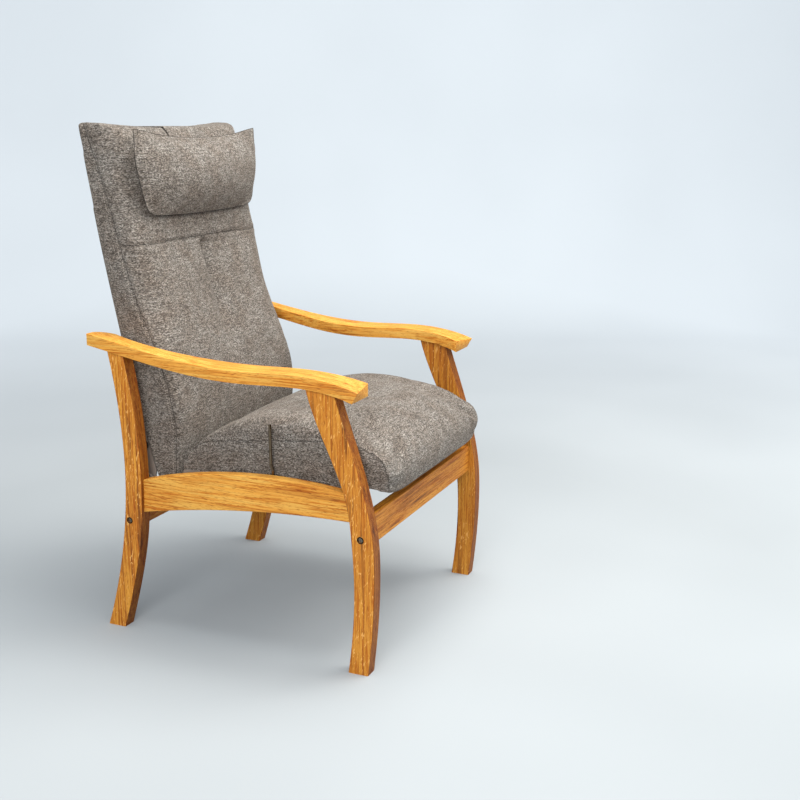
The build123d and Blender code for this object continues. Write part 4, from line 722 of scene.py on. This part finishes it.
def shrink(piece, depth, hold):
    """Pulls the free points in along their normals, by less where they are held."""
    normals = [vertex.normal.copy() for vertex in piece.data.vertices]
    for vertex, normal, share in zip(piece.data.vertices, normals, hold):
        vertex.co -= normal * depth * (1 - share)


def inflate(piece, hold, pressure, limit, frames=20):
    """Blows the cover up with the cloth solver, with its held points fast and a largest move."""
    start = [vertex.co.copy() for vertex in piece.data.vertices]
    group = piece.vertex_groups.new(name="held")
    for index, share in enumerate(hold):
        if share > 0.01:
            group.add([index], share, "REPLACE")
    cloth = piece.modifiers.new("filling", "CLOTH")
    set_all(cloth.settings, **wool_rules, uniform_pressure_force=pressure)
    cloth.settings.effector_weights.gravity = 0
    cloth.collision_settings.use_collision = False
    set_all(cloth.point_cache, frame_start=1, frame_end=frames)
    for number in range(1, frames + 1):
        bpy.context.scene.frame_set(number)
    apply_modifiers(piece)
    bpy.context.scene.frame_set(1)
    furthest = 0
    for vertex, first in zip(piece.data.vertices, start):
        move = vertex.co - first
        if move.length > limit:
            vertex.co = first + move * (limit / move.length)
        furthest = max(furthest, move.length)
    print(piece.name, "swelled by up to", round(furthest * 1000, 1), "mm")


def subdivided(piece):
    set_all(piece.modifiers.new("finer", "SUBSURF"), levels=1, render_levels=1)
    apply_modifiers(piece)


def smooth(piece, material):
    for face in piece.data.polygons:
        face.use_smooth = True
    piece.data.materials.clear()
    piece.data.materials.append(material)


def lay_weave(piece):
    """A UV map in metres, laid on each face from the side that it looks to most."""
    shape = bmesh.new()
    shape.from_mesh(piece.data)
    layer = shape.loops.layers.uv.new("weave")
    for face in shape.faces:
        normal = face.normal
        side = max(range(3), key=lambda axis: abs(normal[axis]))
        across, along = {0: (1, 2), 1: (0, 2), 2: (0, 1)}[side]
        for corner in face.loops:
            place = corner.vert.co
            corner[layer].uv = (place[across] + side * side_shift[0], place[along] + side * side_shift[1])
    shape.to_mesh(piece.data)
    shape.free()


def litres(piece):
    shape = bmesh.new()
    shape.from_mesh(piece.data)
    volume = shape.calc_volume() * 1000
    shape.free()
    return volume


def box_mesh(name, *spans):
    """A closed box from its spans in x, y and z."""
    shape = bmesh.new()
    bmesh.ops.create_cube(shape, size=1)
    size = [high - low for low, high in spans]
    middle = [(low + high) / 2 for low, high in spans]
    bmesh.ops.scale(shape, vec=size, verts=shape.verts)
    bmesh.ops.translate(shape, vec=middle, verts=shape.verts)
    return mesh_of(shape, name)


def cut_out(piece, mesh):
    """Cuts a closed form out of a piece."""
    cutter = new_piece("cutter", mesh)
    hollow = piece.modifiers.new("hollow", "BOOLEAN")
    set_all(hollow, operation="DIFFERENCE", object=cutter, solver="EXACT")
    before = litres(piece)
    apply_modifiers(piece)
    bpy.data.objects.remove(cutter)
    print(piece.name, "hollowed from", round(before, 2), "to", round(litres(piece), 2), "litres")


print("a cover's stiffness in tension:", wool_rules["tension_stiffness"])

# %% [markdown]
# ## Seams
#
# The cover is cut from flat panels. Where two panels meet, the seam draws the cloth
# down into the filling, and a row of topstitches holds it beside the line. A seam is
# a list of points on the cushion here. It holds the cover during the filling, then
# pulls a narrow groove, and last it carries its own small stitches.

# %% Helpers for seams
seam_step = 0.001
# Soft falloffs are powers of this number.
falloff = 2.718
swell_share = 0.22
# A point of a seam that is further than this from the cover gets no stitch.
stitch_reach = 0.03
# A face is seen as an under side when its normal points down at least this much.
facing_down = -0.6
# How far a cover may stand out of its solid where something else is close.
tight = 0.0002


def dense(path):
    """Points every millimetre along a line."""
    points = []
    for first, second in zip(path, path[1:]):
        first, second = Vector(first), Vector(second)
        count = max(1, ceil((second - first).length / seam_step))
        points += [first.lerp(second, number / count) for number in range(count)]
    return points + [Vector(path[-1])]


def rounded(path, rounds=2):
    """A line whose corners are cut off, twice or more."""
    points = [Vector(point) for point in path]
    for _ in range(rounds):
        softer = [points[0]]
        for first, second in zip(points, points[1:]):
            softer += [first.lerp(second, 0.25), first.lerp(second, 0.75)]
        points = softer + [points[-1]]
    return points


def seam_tree(paths):
    points = [point for path in paths for point in dense(path)]
    tree = KDTree(len(points))
    for index, point in enumerate(points):
        tree.insert(point, index)
    tree.balance()
    return tree


def held_by(piece, seams, fixed, reach):
    """How firmly each point is held, from 0 to 1: by the seams, and where fixed says so."""
    tree = seam_tree(seams)
    hold = []
    for vertex in piece.data.vertices:
        near = max(0.0, 1 - tree.find(vertex.co)[2] / reach)
        hold.append(max(near, fixed(vertex.co, vertex.normal)))
    return hold


def fill(piece, seams, fixed, reach, depth, pressure, limit):
    """Holds a cover at its seams, pulls the rest in, and blows it up from inside."""
    hold = held_by(piece, seams, fixed, reach)
    shrink(piece, depth, hold)
    inflate(piece, hold, pressure, limit)


def surface_of(piece):
    """A search tree of a piece's faces."""
    shape = bmesh.new()
    shape.from_mesh(piece.data)
    tree = BVHTree.FromBMesh(shape)
    shape.free()
    return tree


def pull_seams(piece, paths, depth, width):
    """Draws the cover in along the seams, with a low swell on both sides."""
    tree = seam_tree(paths)
    normals = [vertex.normal.copy() for vertex in piece.data.vertices]
    for vertex, normal in zip(piece.data.vertices, normals):
        distance = tree.find(vertex.co)[2]
        if distance < 4 * width:
            groove = falloff ** -((distance / width) ** 2)
            swell = falloff ** -(((distance - 2 * width) / width) ** 2)
            vertex.co += normal * depth * (swell_share * swell - groove)


def laid_back(piece, node, share):
    """Brings points back to the face of their solid, by a share from 0 to 1 that depends on the place."""
    tree = surface_of(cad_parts[node])
    for vertex in piece.data.vertices:
        pull = share(vertex.co)
        if pull > 0:
            vertex.co = vertex.co.lerp(tree.find_nearest(vertex.co)[0], pull)


def keep_inside(piece, node, allowance):
    """Brings back what stands further out of its solid than is allowed there."""
    tree = surface_of(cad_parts[node])
    moved = 0
    for vertex in piece.data.vertices:
        near, normal, _, distance = tree.find_nearest(vertex.co)
        out = vertex.co - near
        room = allowance(vertex.co)
        if out.dot(normal) > 0 and distance > room:
            vertex.co = near + out.normalized() * room
            moved += 1
    print(piece.name, "brought back", moved, "points of", len(piece.data.vertices))


def add_stitches(name, piece, paths, offset, pitch=0.0056, length=0.0036, radius=0.0005):
    """One small rounded stitch after another, beside each seam on a cushion's surface."""
    surface = surface_of(piece)
    shape = bmesh.new()
    count = 0
    for path in paths:
        line = dense(path)
        step = round(pitch / seam_step)
        for start in range(step, len(line) - step, step):
            ahead = (line[min(start + 3, len(line) - 1)] - line[max(start - 3, 0)]).normalized()
            near, normal, _, distance = surface.find_nearest(line[start])
            if near is None or distance > stitch_reach:
                continue
            aside = normal.cross(ahead).normalized()
            spot, normal, _, _ = surface.find_nearest(near + aside * offset)
            ahead = (ahead - normal * ahead.dot(normal)).normalized()
            turn = Matrix((ahead, normal.cross(ahead), normal)).transposed().to_4x4()
            size = Matrix.Diagonal((length / 2, radius * 1.3, radius, 1))
            place = Matrix.Translation(spot + normal * radius * 0.3) @ turn @ size
            bmesh.ops.create_uvsphere(shape, u_segments=6, v_segments=4, radius=1, matrix=place)
            count += 1
    stitches = new_piece(name, mesh_of(shape, name))
    smooth(stitches, thread)
    print(name, "has", count, "stitches")
    return stitches


def add_seam_shadow_lines(name, piece, paths, radius=0.0006):
    """A thin dark line along each seam, laid on a cushion's surface: painted shade for the shadow at the
    bottom of the seam.
    """
    surface = surface_of(piece)
    line = bpy.data.curves.new(name, "CURVE")
    set_all(line, dimensions="3D", bevel_depth=radius, bevel_resolution=1)
    for path in paths:
        places = [surface.find_nearest(point)[0] for point in dense(path)[::4]]
        spline = line.splines.new("POLY")
        spline.points.add(len(places) - 1)
        for point, place in zip(spline.points, places):
            point.co = (*place, 1.0)
    drawn = new_piece(name, line)
    mesh = bpy.data.meshes.new_from_object(drawn.evaluated_get(bpy.context.evaluated_depsgraph_get()))
    bpy.data.objects.remove(drawn)
    shadow_lines = new_piece(name, mesh)
    smooth(shadow_lines, seam_shadow)
    return shadow_lines


def make_thread():
    """Twisted thread, whose tone changes with each turn of the twist."""
    thread, tree, shader = new_material("twisted_polyester_thread")
    spot = add_node(tree, "TexCoord", "Object")
    twist = add_node(tree, "TexNoise", "Fac", {"Vector": spot, "Scale": 1600, "Detail": 1.0})
    body = add_node(tree, "ValToRGB", "Color", {"Fac": twist}, [(0.35, "#7d736a"), (0.65, "#bcb2a6")])
    set_inputs(tree, shader, {"Base Color": body, "Roughness": 0.7, "Sheen Weight": 0.1})
    return thread


thread = make_thread()
# Painted shade: the dark line along each seam stands in for the shadow in its groove.
seam_shadow = make_coated("painted_seam_shadow", ("#231f1c", "#2f2a26"), 0.9, 0.0007)
print("seams are followed in steps of", seam_step * 1000, "mm")

# %% [markdown]
# ## The seat cushion
#
# The seat is a block of cold foam on sinuous springs. Its cover has one panel that
# runs over the top and round the big front roll, and two side panels. The seam
# between them climbs slowly from the rear to the front leg and then dives round the
# roll. Below the seam the side panel is pulled down over the edge of the wooden
# frame, where it is stapled out of sight. The hollow for the frame and the springs is
# cut last, because the remesh would fray a wall of a few millimetres.

# %% Shape of the seat
seat_wall = 0.275
seat_side_seam = [
    (0.140, 0.412), (0.125, 0.436), (0.097, 0.456), (0.060, 0.4645), (-0.007, 0.472), (-0.131, 0.486),
    (-0.220, 0.4936), (-0.2925, 0.496), (-0.325, 0.486), (-0.3435, 0.471), (-0.3545, 0.446), (-0.366, 0.415),
]
seat_seams = [rounded([(side * seat_wall, y, z) for y, z in seat_side_seam]) for side in (-1, 1)]
seat_pocket_x = 0.267
seat_pocket_y = (-0.3405, 0.1035)
seat_pocket_z = (0.35, 0.4464)
seat_floor_x = 0.2718
seat_floor_y = (-0.3185, 0.16)
seat_floor_z = 0.402
seat_swell = 0.004
seat_staple_z = 0.408
seat_roll_y = -0.33
seat_under_z = 0.404
seat_side_x = 0.27
seat_rear_y = 0.03
# The plugs close the solid's own hollow before the remesh, and stand a little into its walls.
seat_plugs = [
    ((-0.268, 0.268), (-0.3415, 0.1045), (0.4021, 0.4474)),
    ((-0.275, 0.275), (-0.2985, 0.1472), (0.377, 0.4085)),
]


def seat_hollow():
    """The hollow under the seat: a pocket for the wooden frame, and a wider way in below it."""
    shape = bmesh.new()
    sides = (-seat_pocket_x, seat_pocket_x)
    shape.from_mesh(box_mesh("pocket", sides, (seat_floor_y[0], seat_pocket_y[1]), seat_pocket_z))
    everything = [*shape.verts, *shape.edges, *shape.faces]
    bmesh.ops.bisect_plane(shape, geom=everything, plane_co=(0, 0, seat_floor_z), plane_no=(0, 0, 1))

    def push(chosen, move):
        """Draws the chosen faces out into a wider part of the hollow."""
        faces = [face for face in shape.faces if chosen(face.calc_center_median(), face.normal)]
        made = bmesh.ops.extrude_face_region(shape, geom=faces)["geom"]
        verts = [item for item in made if isinstance(item, bmesh.types.BMVert)]
        bmesh.ops.translate(shape, verts=verts, vec=move)
        left = [face for face in faces if face.is_valid]
        bmesh.ops.delete(shape, geom=left, context="FACES_ONLY")
        bmesh.ops.recalc_face_normals(shape, faces=shape.faces)

    forward = seat_pocket_y[0] - seat_floor_y[0]
    push(lambda spot, normal: spot.z > seat_floor_z and normal.y < -0.9, (0, forward, 0))
    rearward = seat_floor_y[1] - seat_pocket_y[1]
    push(lambda spot, normal: spot.z < seat_floor_z and normal.y > 0.9, (0, rearward, 0))
    for side in (-1, 1):
        wider = side * (seat_floor_x - seat_pocket_x)
        push(lambda spot, normal: spot.z < seat_floor_z and normal.x * side > 0.9, (wider, 0, 0))
    return mesh_of(shape, "seat_hollow")


def seat_fixed(place, normal):
    """1 along the lower edge, where the cover is stapled, and under the seat."""
    low = place.z < seat_staple_z and place.y > seat_roll_y
    return 1.0 if low or normal.z < facing_down else 0.0


def seat_room(place):
    """How far the seat may stand out of its solid: nothing beside the arms and the back."""
    if place.z < seat_under_z:
        return 1.0
    return tight if abs(place.x) > seat_side_x or place.y > seat_rear_y else seat_swell


def make_seat():
    seat = copied("seat_cushion", "seat_pad", [box_mesh("plug", *spans) for spans in seat_plugs])
    remeshed(seat, voxel=0.0065)
    fill(seat, seat_seams, seat_fixed, reach=0.006, depth=0.005, pressure=4.0, limit=0.022)
    subdivided(seat)
    keep_inside(seat, "seat_cushion", seat_room)
    pull_seams(seat, seat_seams, depth=0.0032, width=0.0045)
    cut_out(seat, seat_hollow())
    lay_weave(seat)
    smooth(seat, wool)
    return seat


seat = make_seat()
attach(seat, "seat")
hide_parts("seat_cushion")
seat_stitches = add_stitches("seat_stitches", seat, seat_seams, offset=0.005)
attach(seat_stitches, "seat")
seat_seam_shadow_lines = add_seam_shadow_lines("seat_seam_shadow_lines", seat, seat_seams)
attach(seat_seam_shadow_lines, "seat")
print("seat faces:", len(seat.data.polygons))

# %% [markdown]
# ## The back cushion
#
# The back is one tall cushion with a sewn cross seam below the headrest part. Under
# it a short tuck divides the front into two lobes, with a shallow valley between
# them that fades out at the waist. The side panels have a double seam near the front
# edge. At the top the cover is pulled back over a roll, and the two corners stand up
# as small ears, because the seams meet there.

# %% Shape of the back
back_height = 0.794
back_low = 0.356
back_side = 0.270
circle_points = [(0.219, 0.356), (0.3845, 1.150)]
circle_bulge = 0.0175


def rear_circle():
    """Centre and radius of the arc that the rear face follows, from its ends and its bulge."""
    first, last = (Vector(point) for point in circle_points)
    chord = last - first
    radius = (chord.length ** 2 / 4 + circle_bulge ** 2) / (2 * circle_bulge)
    inward = Vector((-chord.y, chord.x)).normalized()
    return first + chord / 2 + inward * (radius - circle_bulge), radius


rear_centre, rear_radius = rear_circle()


def rear_face(z):
    return rear_centre.x + sqrt(rear_radius ** 2 - (z - rear_centre.y) ** 2)


print("rear face at mid height:", round(rear_face(back_low + back_height / 2), 4), "m")

# %% Seams and forms of the back
# The side seam's height up the back and its distance from the rear face, as shares.
seam_shares = (
    (0.0, 0.38), (0.0833, 0.545), (0.1667, 0.705), (0.25, 0.735), (0.3333, 0.705),
    (0.4167, 0.635), (0.5, 0.53), (0.5833, 0.462), (0.6667, 0.413), (0.75, 0.364),
    (0.8333, 0.295), (0.9167, 0.212), (1.0, 0.11),
)
back_depth = 0.132
front_share = 0.8
cross_seam_side_share = 0.413
cross_seam_z = 0.8855
tuck_low_z = 0.60
valley_depth = 0.022
valley_near_width = 0.014
valley_far_width = 0.055
valley_start = 0.06
valley_fade = 1.4
front_from = 0.06
back_lean = atan2(circle_points[1][0] - circle_points[0][0], back_height)
back_swell = 0.005
back_under_z = 0.362
back_rear_zone = 0.012
back_edge_zone = 0.02
back_side_x = 0.262
back_seat_z = 0.56
headrest_swell = 0.0004
headrest_z = 0.93
roll_starts_z = 1.05
roll_height = 0.07
board_height = 0.754
board_depth_low = 0.034
board_depth_top = 0.020
board_margin = 0.012


def back_seams():
    """The two side seams, the cross seam over the front and the tuck down its middle."""
    sides = []
    for side in (-1, 1):
        path = []
        for share, seam in seam_shares:
            z = back_low + share * back_height
            path.append((side * back_side, rear_face(z) - seam * back_depth, z))
        sides.append(path)
    cross_y = rear_face(cross_seam_z) - front_share * back_depth + 0.004
    side_y = rear_face(cross_seam_z) - cross_seam_side_share * back_depth
    half = [(0.268, side_y), (0.262, cross_y + 0.012), (0.222, cross_y + 0.001), (0.11, cross_y)]
    cross = [(-x, y, cross_seam_z) for x, y in half] + [(x, y, cross_seam_z) for x, y in reversed(half)]
    tuck = []
    for step in range(9):
        z = cross_seam_z - step * (cross_seam_z - tuck_low_z) / 8
        tuck.append((0, rear_face(z) - front_share * back_depth, z))
    return sides, cross, tuck


side_seams, cross_seam, tuck_line = back_seams()


def back_plug(grow, behind):
    """The hollow for the boards: a slab that follows the rear face, deeper at the bottom."""
    shape = bmesh.new()
    bmesh.ops.create_cube(shape, size=1)
    upright = [edge for edge in shape.edges if abs(edge.verts[0].co.z - edge.verts[1].co.z) > 0.5]
    bmesh.ops.subdivide_edges(shape, edges=upright, cuts=40, use_grid_fill=True)
    half = back_side - board_margin + grow
    for vert in shape.verts:
        share = vert.co.z + 0.5
        height = share * (board_height + grow)
        z = back_low + height - (0.004 if share == 0 and behind > 0 else 0)
        depth = board_depth_low + (board_depth_top - board_depth_low) * height / board_height + grow
        y = rear_face(z) + (behind if vert.co.y > 0 else -depth)
        vert.co = Vector((vert.co.x * 2 * half, y, z))
    return mesh_of(shape, "back_plug")


def back_top(place):
    """From 0 below the roll at the top to 1 on it, where the strap lies tight over the cover."""
    return min(1.0, max(0.0, (place.z - roll_starts_z) / roll_height))


def back_fixed(place, normal):
    """1 on the rear face and underneath, and more and more toward the roll at the top."""
    behind = rear_face(place.z) - place.y < back_rear_zone
    return 1.0 if behind or place.z < back_under_z else back_top(place)


def back_room(place):
    """How far the back may stand out of its solid: nothing beside the frame and the seat."""
    low_or_aside = abs(place.x) > back_side_x or place.z < back_seat_z
    if low_or_aside or rear_face(place.z) - place.y < back_edge_zone:
        return tight
    return headrest_swell if place.z > headrest_z else back_swell


def press_valley(piece):
    """Folds the cover in along the tuck: steep on one side, slanting on the other, gone at the waist."""
    for vertex in piece.data.vertices:
        down = (cross_seam_z - vertex.co.z) / (cross_seam_z - tuck_low_z)
        front = rear_face(vertex.co.z) - vertex.co.y > front_from
        if front and 0 < down < 1:
            start = min(1.0, down / valley_start)
            fade = (1 - down) ** valley_fade
            width = valley_near_width if vertex.co.x < 0 else valley_far_width
            vertex.co.y += valley_depth * start * fade * falloff ** (-abs(vertex.co.x) / width)


def make_back():
    back = copied("back_cushion", "back_pad", [back_plug(grow=0.001, behind=-0.0002)])
    remeshed(back, voxel=0.007, lean=back_lean, rounds=2)
    paths = [*side_seams, cross_seam, tuck_line]
    fill(back, paths, back_fixed, reach=0.007, depth=0.005, pressure=4.0, limit=0.022)
    laid_back(back, "back_cushion", back_top)
    subdivided(back)
    keep_inside(back, "back_cushion", back_room)
    press_valley(back)
    pull_seams(back, [*side_seams, cross_seam], depth=0.0034, width=0.0045)
    cut_out(back, back_plug(grow=0, behind=0.01))
    lay_weave(back)
    smooth(back, wool)
    return back


back = make_back()
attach(back, "back")
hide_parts("back_cushion")
back_stitches = add_stitches("back_stitches", back, side_seams, offset=0.0075)
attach(back_stitches, "back")
back_seam_shadow_lines = add_seam_shadow_lines("back_seam_shadow_lines", back, [*side_seams, cross_seam])
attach(back_seam_shadow_lines, "back")
print("back faces:", len(back.data.polygons))

# %% [markdown]
# ## The neck pillow
#
# The pillow is cut from two panels that meet in a knife edge all round, so it is thick
# in the middle and thin at the rim. Its filling is softer than the seat's, its upper
# corners stay pointed, and its lower edge hangs straight. The rim is held in place
# here and the two faces are blown up between, as a real filling would do.

# %% Shape of the pillow
# The outline as shares of the half width and of the height.
pillow_upper_shares = (
    (-0.985, 0.99), (-0.85, 0.97), (-0.6, 0.92), (-0.3, 0.888), (0.0, 0.88),
    (0.3, 0.888), (0.6, 0.92), (0.85, 0.97), (0.985, 0.99),
)
pillow_lower_shares = (
    (-0.872, 0.13), (-0.83, 0.045), (-0.72, 0.02), (-0.6, 0.012), (-0.3, 0.0), (0.0, 0.0),
    (0.3, 0.0), (0.6, 0.012), (0.72, 0.02), (0.83, 0.045), (0.872, 0.13),
)
pillow_widest = (0.985, 0.57)
pillow_columns = 72
pillow_rows = 28
pillow_slope = 0.034
pillow_half = 0.259
pillow_low = 0.940
pillow_tall = 0.200
pillow_plane = 0.2415
pillow_tilt = 0.008
pillow_swell = 0.004
pillow_tight = 0.0003
pillow_rear_y = 0.243
pillow_held_y = 0.246
strap_half = 0.07
strap_y = 0.235


def rim_point(place, share):
    return Vector((place * pillow_half, pillow_plane + share * pillow_tilt, pillow_low + share * pillow_tall))


def run_along(line, share):
    """The point at a share of a line's length."""
    lengths = [(second - first).length for first, second in zip(line, line[1:])]
    left = share * sum(lengths)
    for first, second, length in zip(line, line[1:], lengths):
        if left <= length:
            return first.lerp(second, left / length)
        left -= length
    return line[-1]


def pillow_edges():
    """The four edges of the pillow's outline: lower, upper, right-hand and left-hand."""
    low = [rim_point(place, share) for place, share in pillow_lower_shares]
    high = [rim_point(place, share) for place, share in pillow_upper_shares]
    place, share = pillow_widest
    right = [low[0], rim_point(-place, share), high[0]]
    left = [low[-1], rim_point(place, share), high[-1]]
    return [rounded(line, 3) for line in (low, high, right, left)]


lower_edge, upper_edge, right_edge, left_edge = pillow_edges()


def pillow_point(across, up):
    """A point inside the outline, from its shares across and up: a patch hung between the four edges."""
    low, high = run_along(lower_edge, across), run_along(upper_edge, across)
    right, left = run_along(right_edge, up), run_along(left_edge, up)
    corners = (
        lower_edge[0] * (1 - across) * (1 - up) + lower_edge[-1] * across * (1 - up)
        + upper_edge[0] * (1 - across) * up + upper_edge[-1] * across * up
    )
    return low * (1 - up) + high * up + right * (1 - across) + left * across - corners


def pillow_rim():
    """The closed line where the two panels meet."""
    return [[*lower_edge, *left_edge, *reversed(upper_edge), *reversed(right_edge)]]


def pillow_panels():
    """Two panels that meet in a knife edge, each laid on its side of the solid."""
    tree = surface_of(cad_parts["neck_pillow"])
    rim = seam_tree(pillow_rim())
    shape = bmesh.new()
    for side in (-1, 1):
        made = bmesh.ops.create_grid(shape, x_segments=pillow_columns, y_segments=pillow_rows, size=1)
        for vert in made["verts"]:
            flat = pillow_point((vert.co.x + 1) / 2, (vert.co.y + 1) / 2)
            near = min(1.0, rim.find(flat)[2] / pillow_slope)
            above = flat + Vector((0, side * 0.2, 0))
            hit = tree.ray_cast(above, Vector((0, -side, 0)))[0]
            rise = (hit.y - flat.y) * sqrt(1 - (1 - near) ** 2) if hit else 0
            vert.co = flat + Vector((0, rise, 0))
    bmesh.ops.remove_doubles(shape, verts=shape.verts, dist=0.0003)
    bmesh.ops.recalc_face_normals(shape, faces=shape.faces)
    return new_piece("neck_pillow_pad", mesh_of(shape, "neck_pillow_pad"))


def pillow_fixed(place, normal):
    """1 where the pillow lies on the back."""
    return 1.0 if place.y > pillow_held_y else 0.0


def pillow_room(place):
    """How far the pillow may stand out of its solid: nothing toward the back and the strap."""
    at_strap = abs(place.x) < strap_half and place.y > strap_y
    return pillow_tight if place.y > pillow_rear_y or at_strap else pillow_swell


def make_pillow():
    pillow = pillow_panels()
    fill(pillow, pillow_rim(), pillow_fixed, reach=0.004, depth=0.0025, pressure=3.0, limit=0.016)
    subdivided(pillow)
    keep_inside(pillow, "neck_pillow", pillow_room)
    lay_weave(pillow)
    smooth(pillow, wool)
    return pillow


pillow = make_pillow()
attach(pillow, "pillow")
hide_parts("neck_pillow")
before = Vector((0, 0.02, 0))
steps = [step / 12 for step in range(1, 12)]
front_paths = [[pillow_point(across, up) - before for up in steps] for across in (0.035, 0.965)]
pillow_stitches = add_stitches("pillow_stitches", pillow, front_paths, offset=0.0)
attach(pillow_stitches, "pillow")
pillow_seam_shadow_lines = add_seam_shadow_lines("pillow_seam_shadow_lines", pillow, pillow_rim())
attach(pillow_seam_shadow_lines, "pillow")
print("pillow faces:", len(pillow.data.polygons))

# %% [markdown]
# ## Strap, counterweight and rear cover
#
# A wide strap runs from behind the pillow over the back to a weighted pad, so that the
# pillow can slide up and down and stays where it is left. The rear of the back is a
# flat cover of the same cloth, stapled over the boards and finished with a blind seam.

# %% Thin cloth pieces
def soft_copy(node, name, material, edge):
    """A merged copy of a thin piece with its edges rounded, in its own cloth."""
    piece = copied(node, name)
    ease_edges(piece, edge, 0.4, 40)
    apply_modifiers(piece)
    lay_weave(piece)
    smooth(piece, material)
    return piece


strap = soft_copy("pillow_strap", "pillow_strap_band", wool, 0.0007)
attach(strap, "back")
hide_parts("pillow_strap")

weight = soft_copy("pillow_counterweight", "counterweight_pad", wool, 0.004)
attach(weight, "counterweight")
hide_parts("pillow_counterweight")

cover = soft_copy("back_rear_cover", "rear_cover_panel", wool, 0.0008)
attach(cover, "back")
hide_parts("back_rear_cover")

lining = make_coated("black_nonwoven_lining", ("#141414", "#242424"), 0.9, 0.0009)
under = soft_copy("seat_bottom_cloth", "seat_lining_sheet", lining, 0.0003)
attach(under, "seat")
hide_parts("seat_bottom_cloth")

webbing = make_coated("woven_elastic_webbing", ("#2a2622", "#3c3732"), 0.85, 0.0016)
straps = soft_copy("back_webbing", "back_webbing_straps", webbing, 0.0005)
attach(straps, "back")
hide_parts("back_webbing")
print("thin pieces:", [piece.name for piece in (strap, weight, cover, under, straps)])

# %% [markdown]
# ## Last update
#
# The finished chair has to stay within the box of its construction model. This last
# step only updates the scene.

# %% Update the scene
bpy.context.view_layer.update()
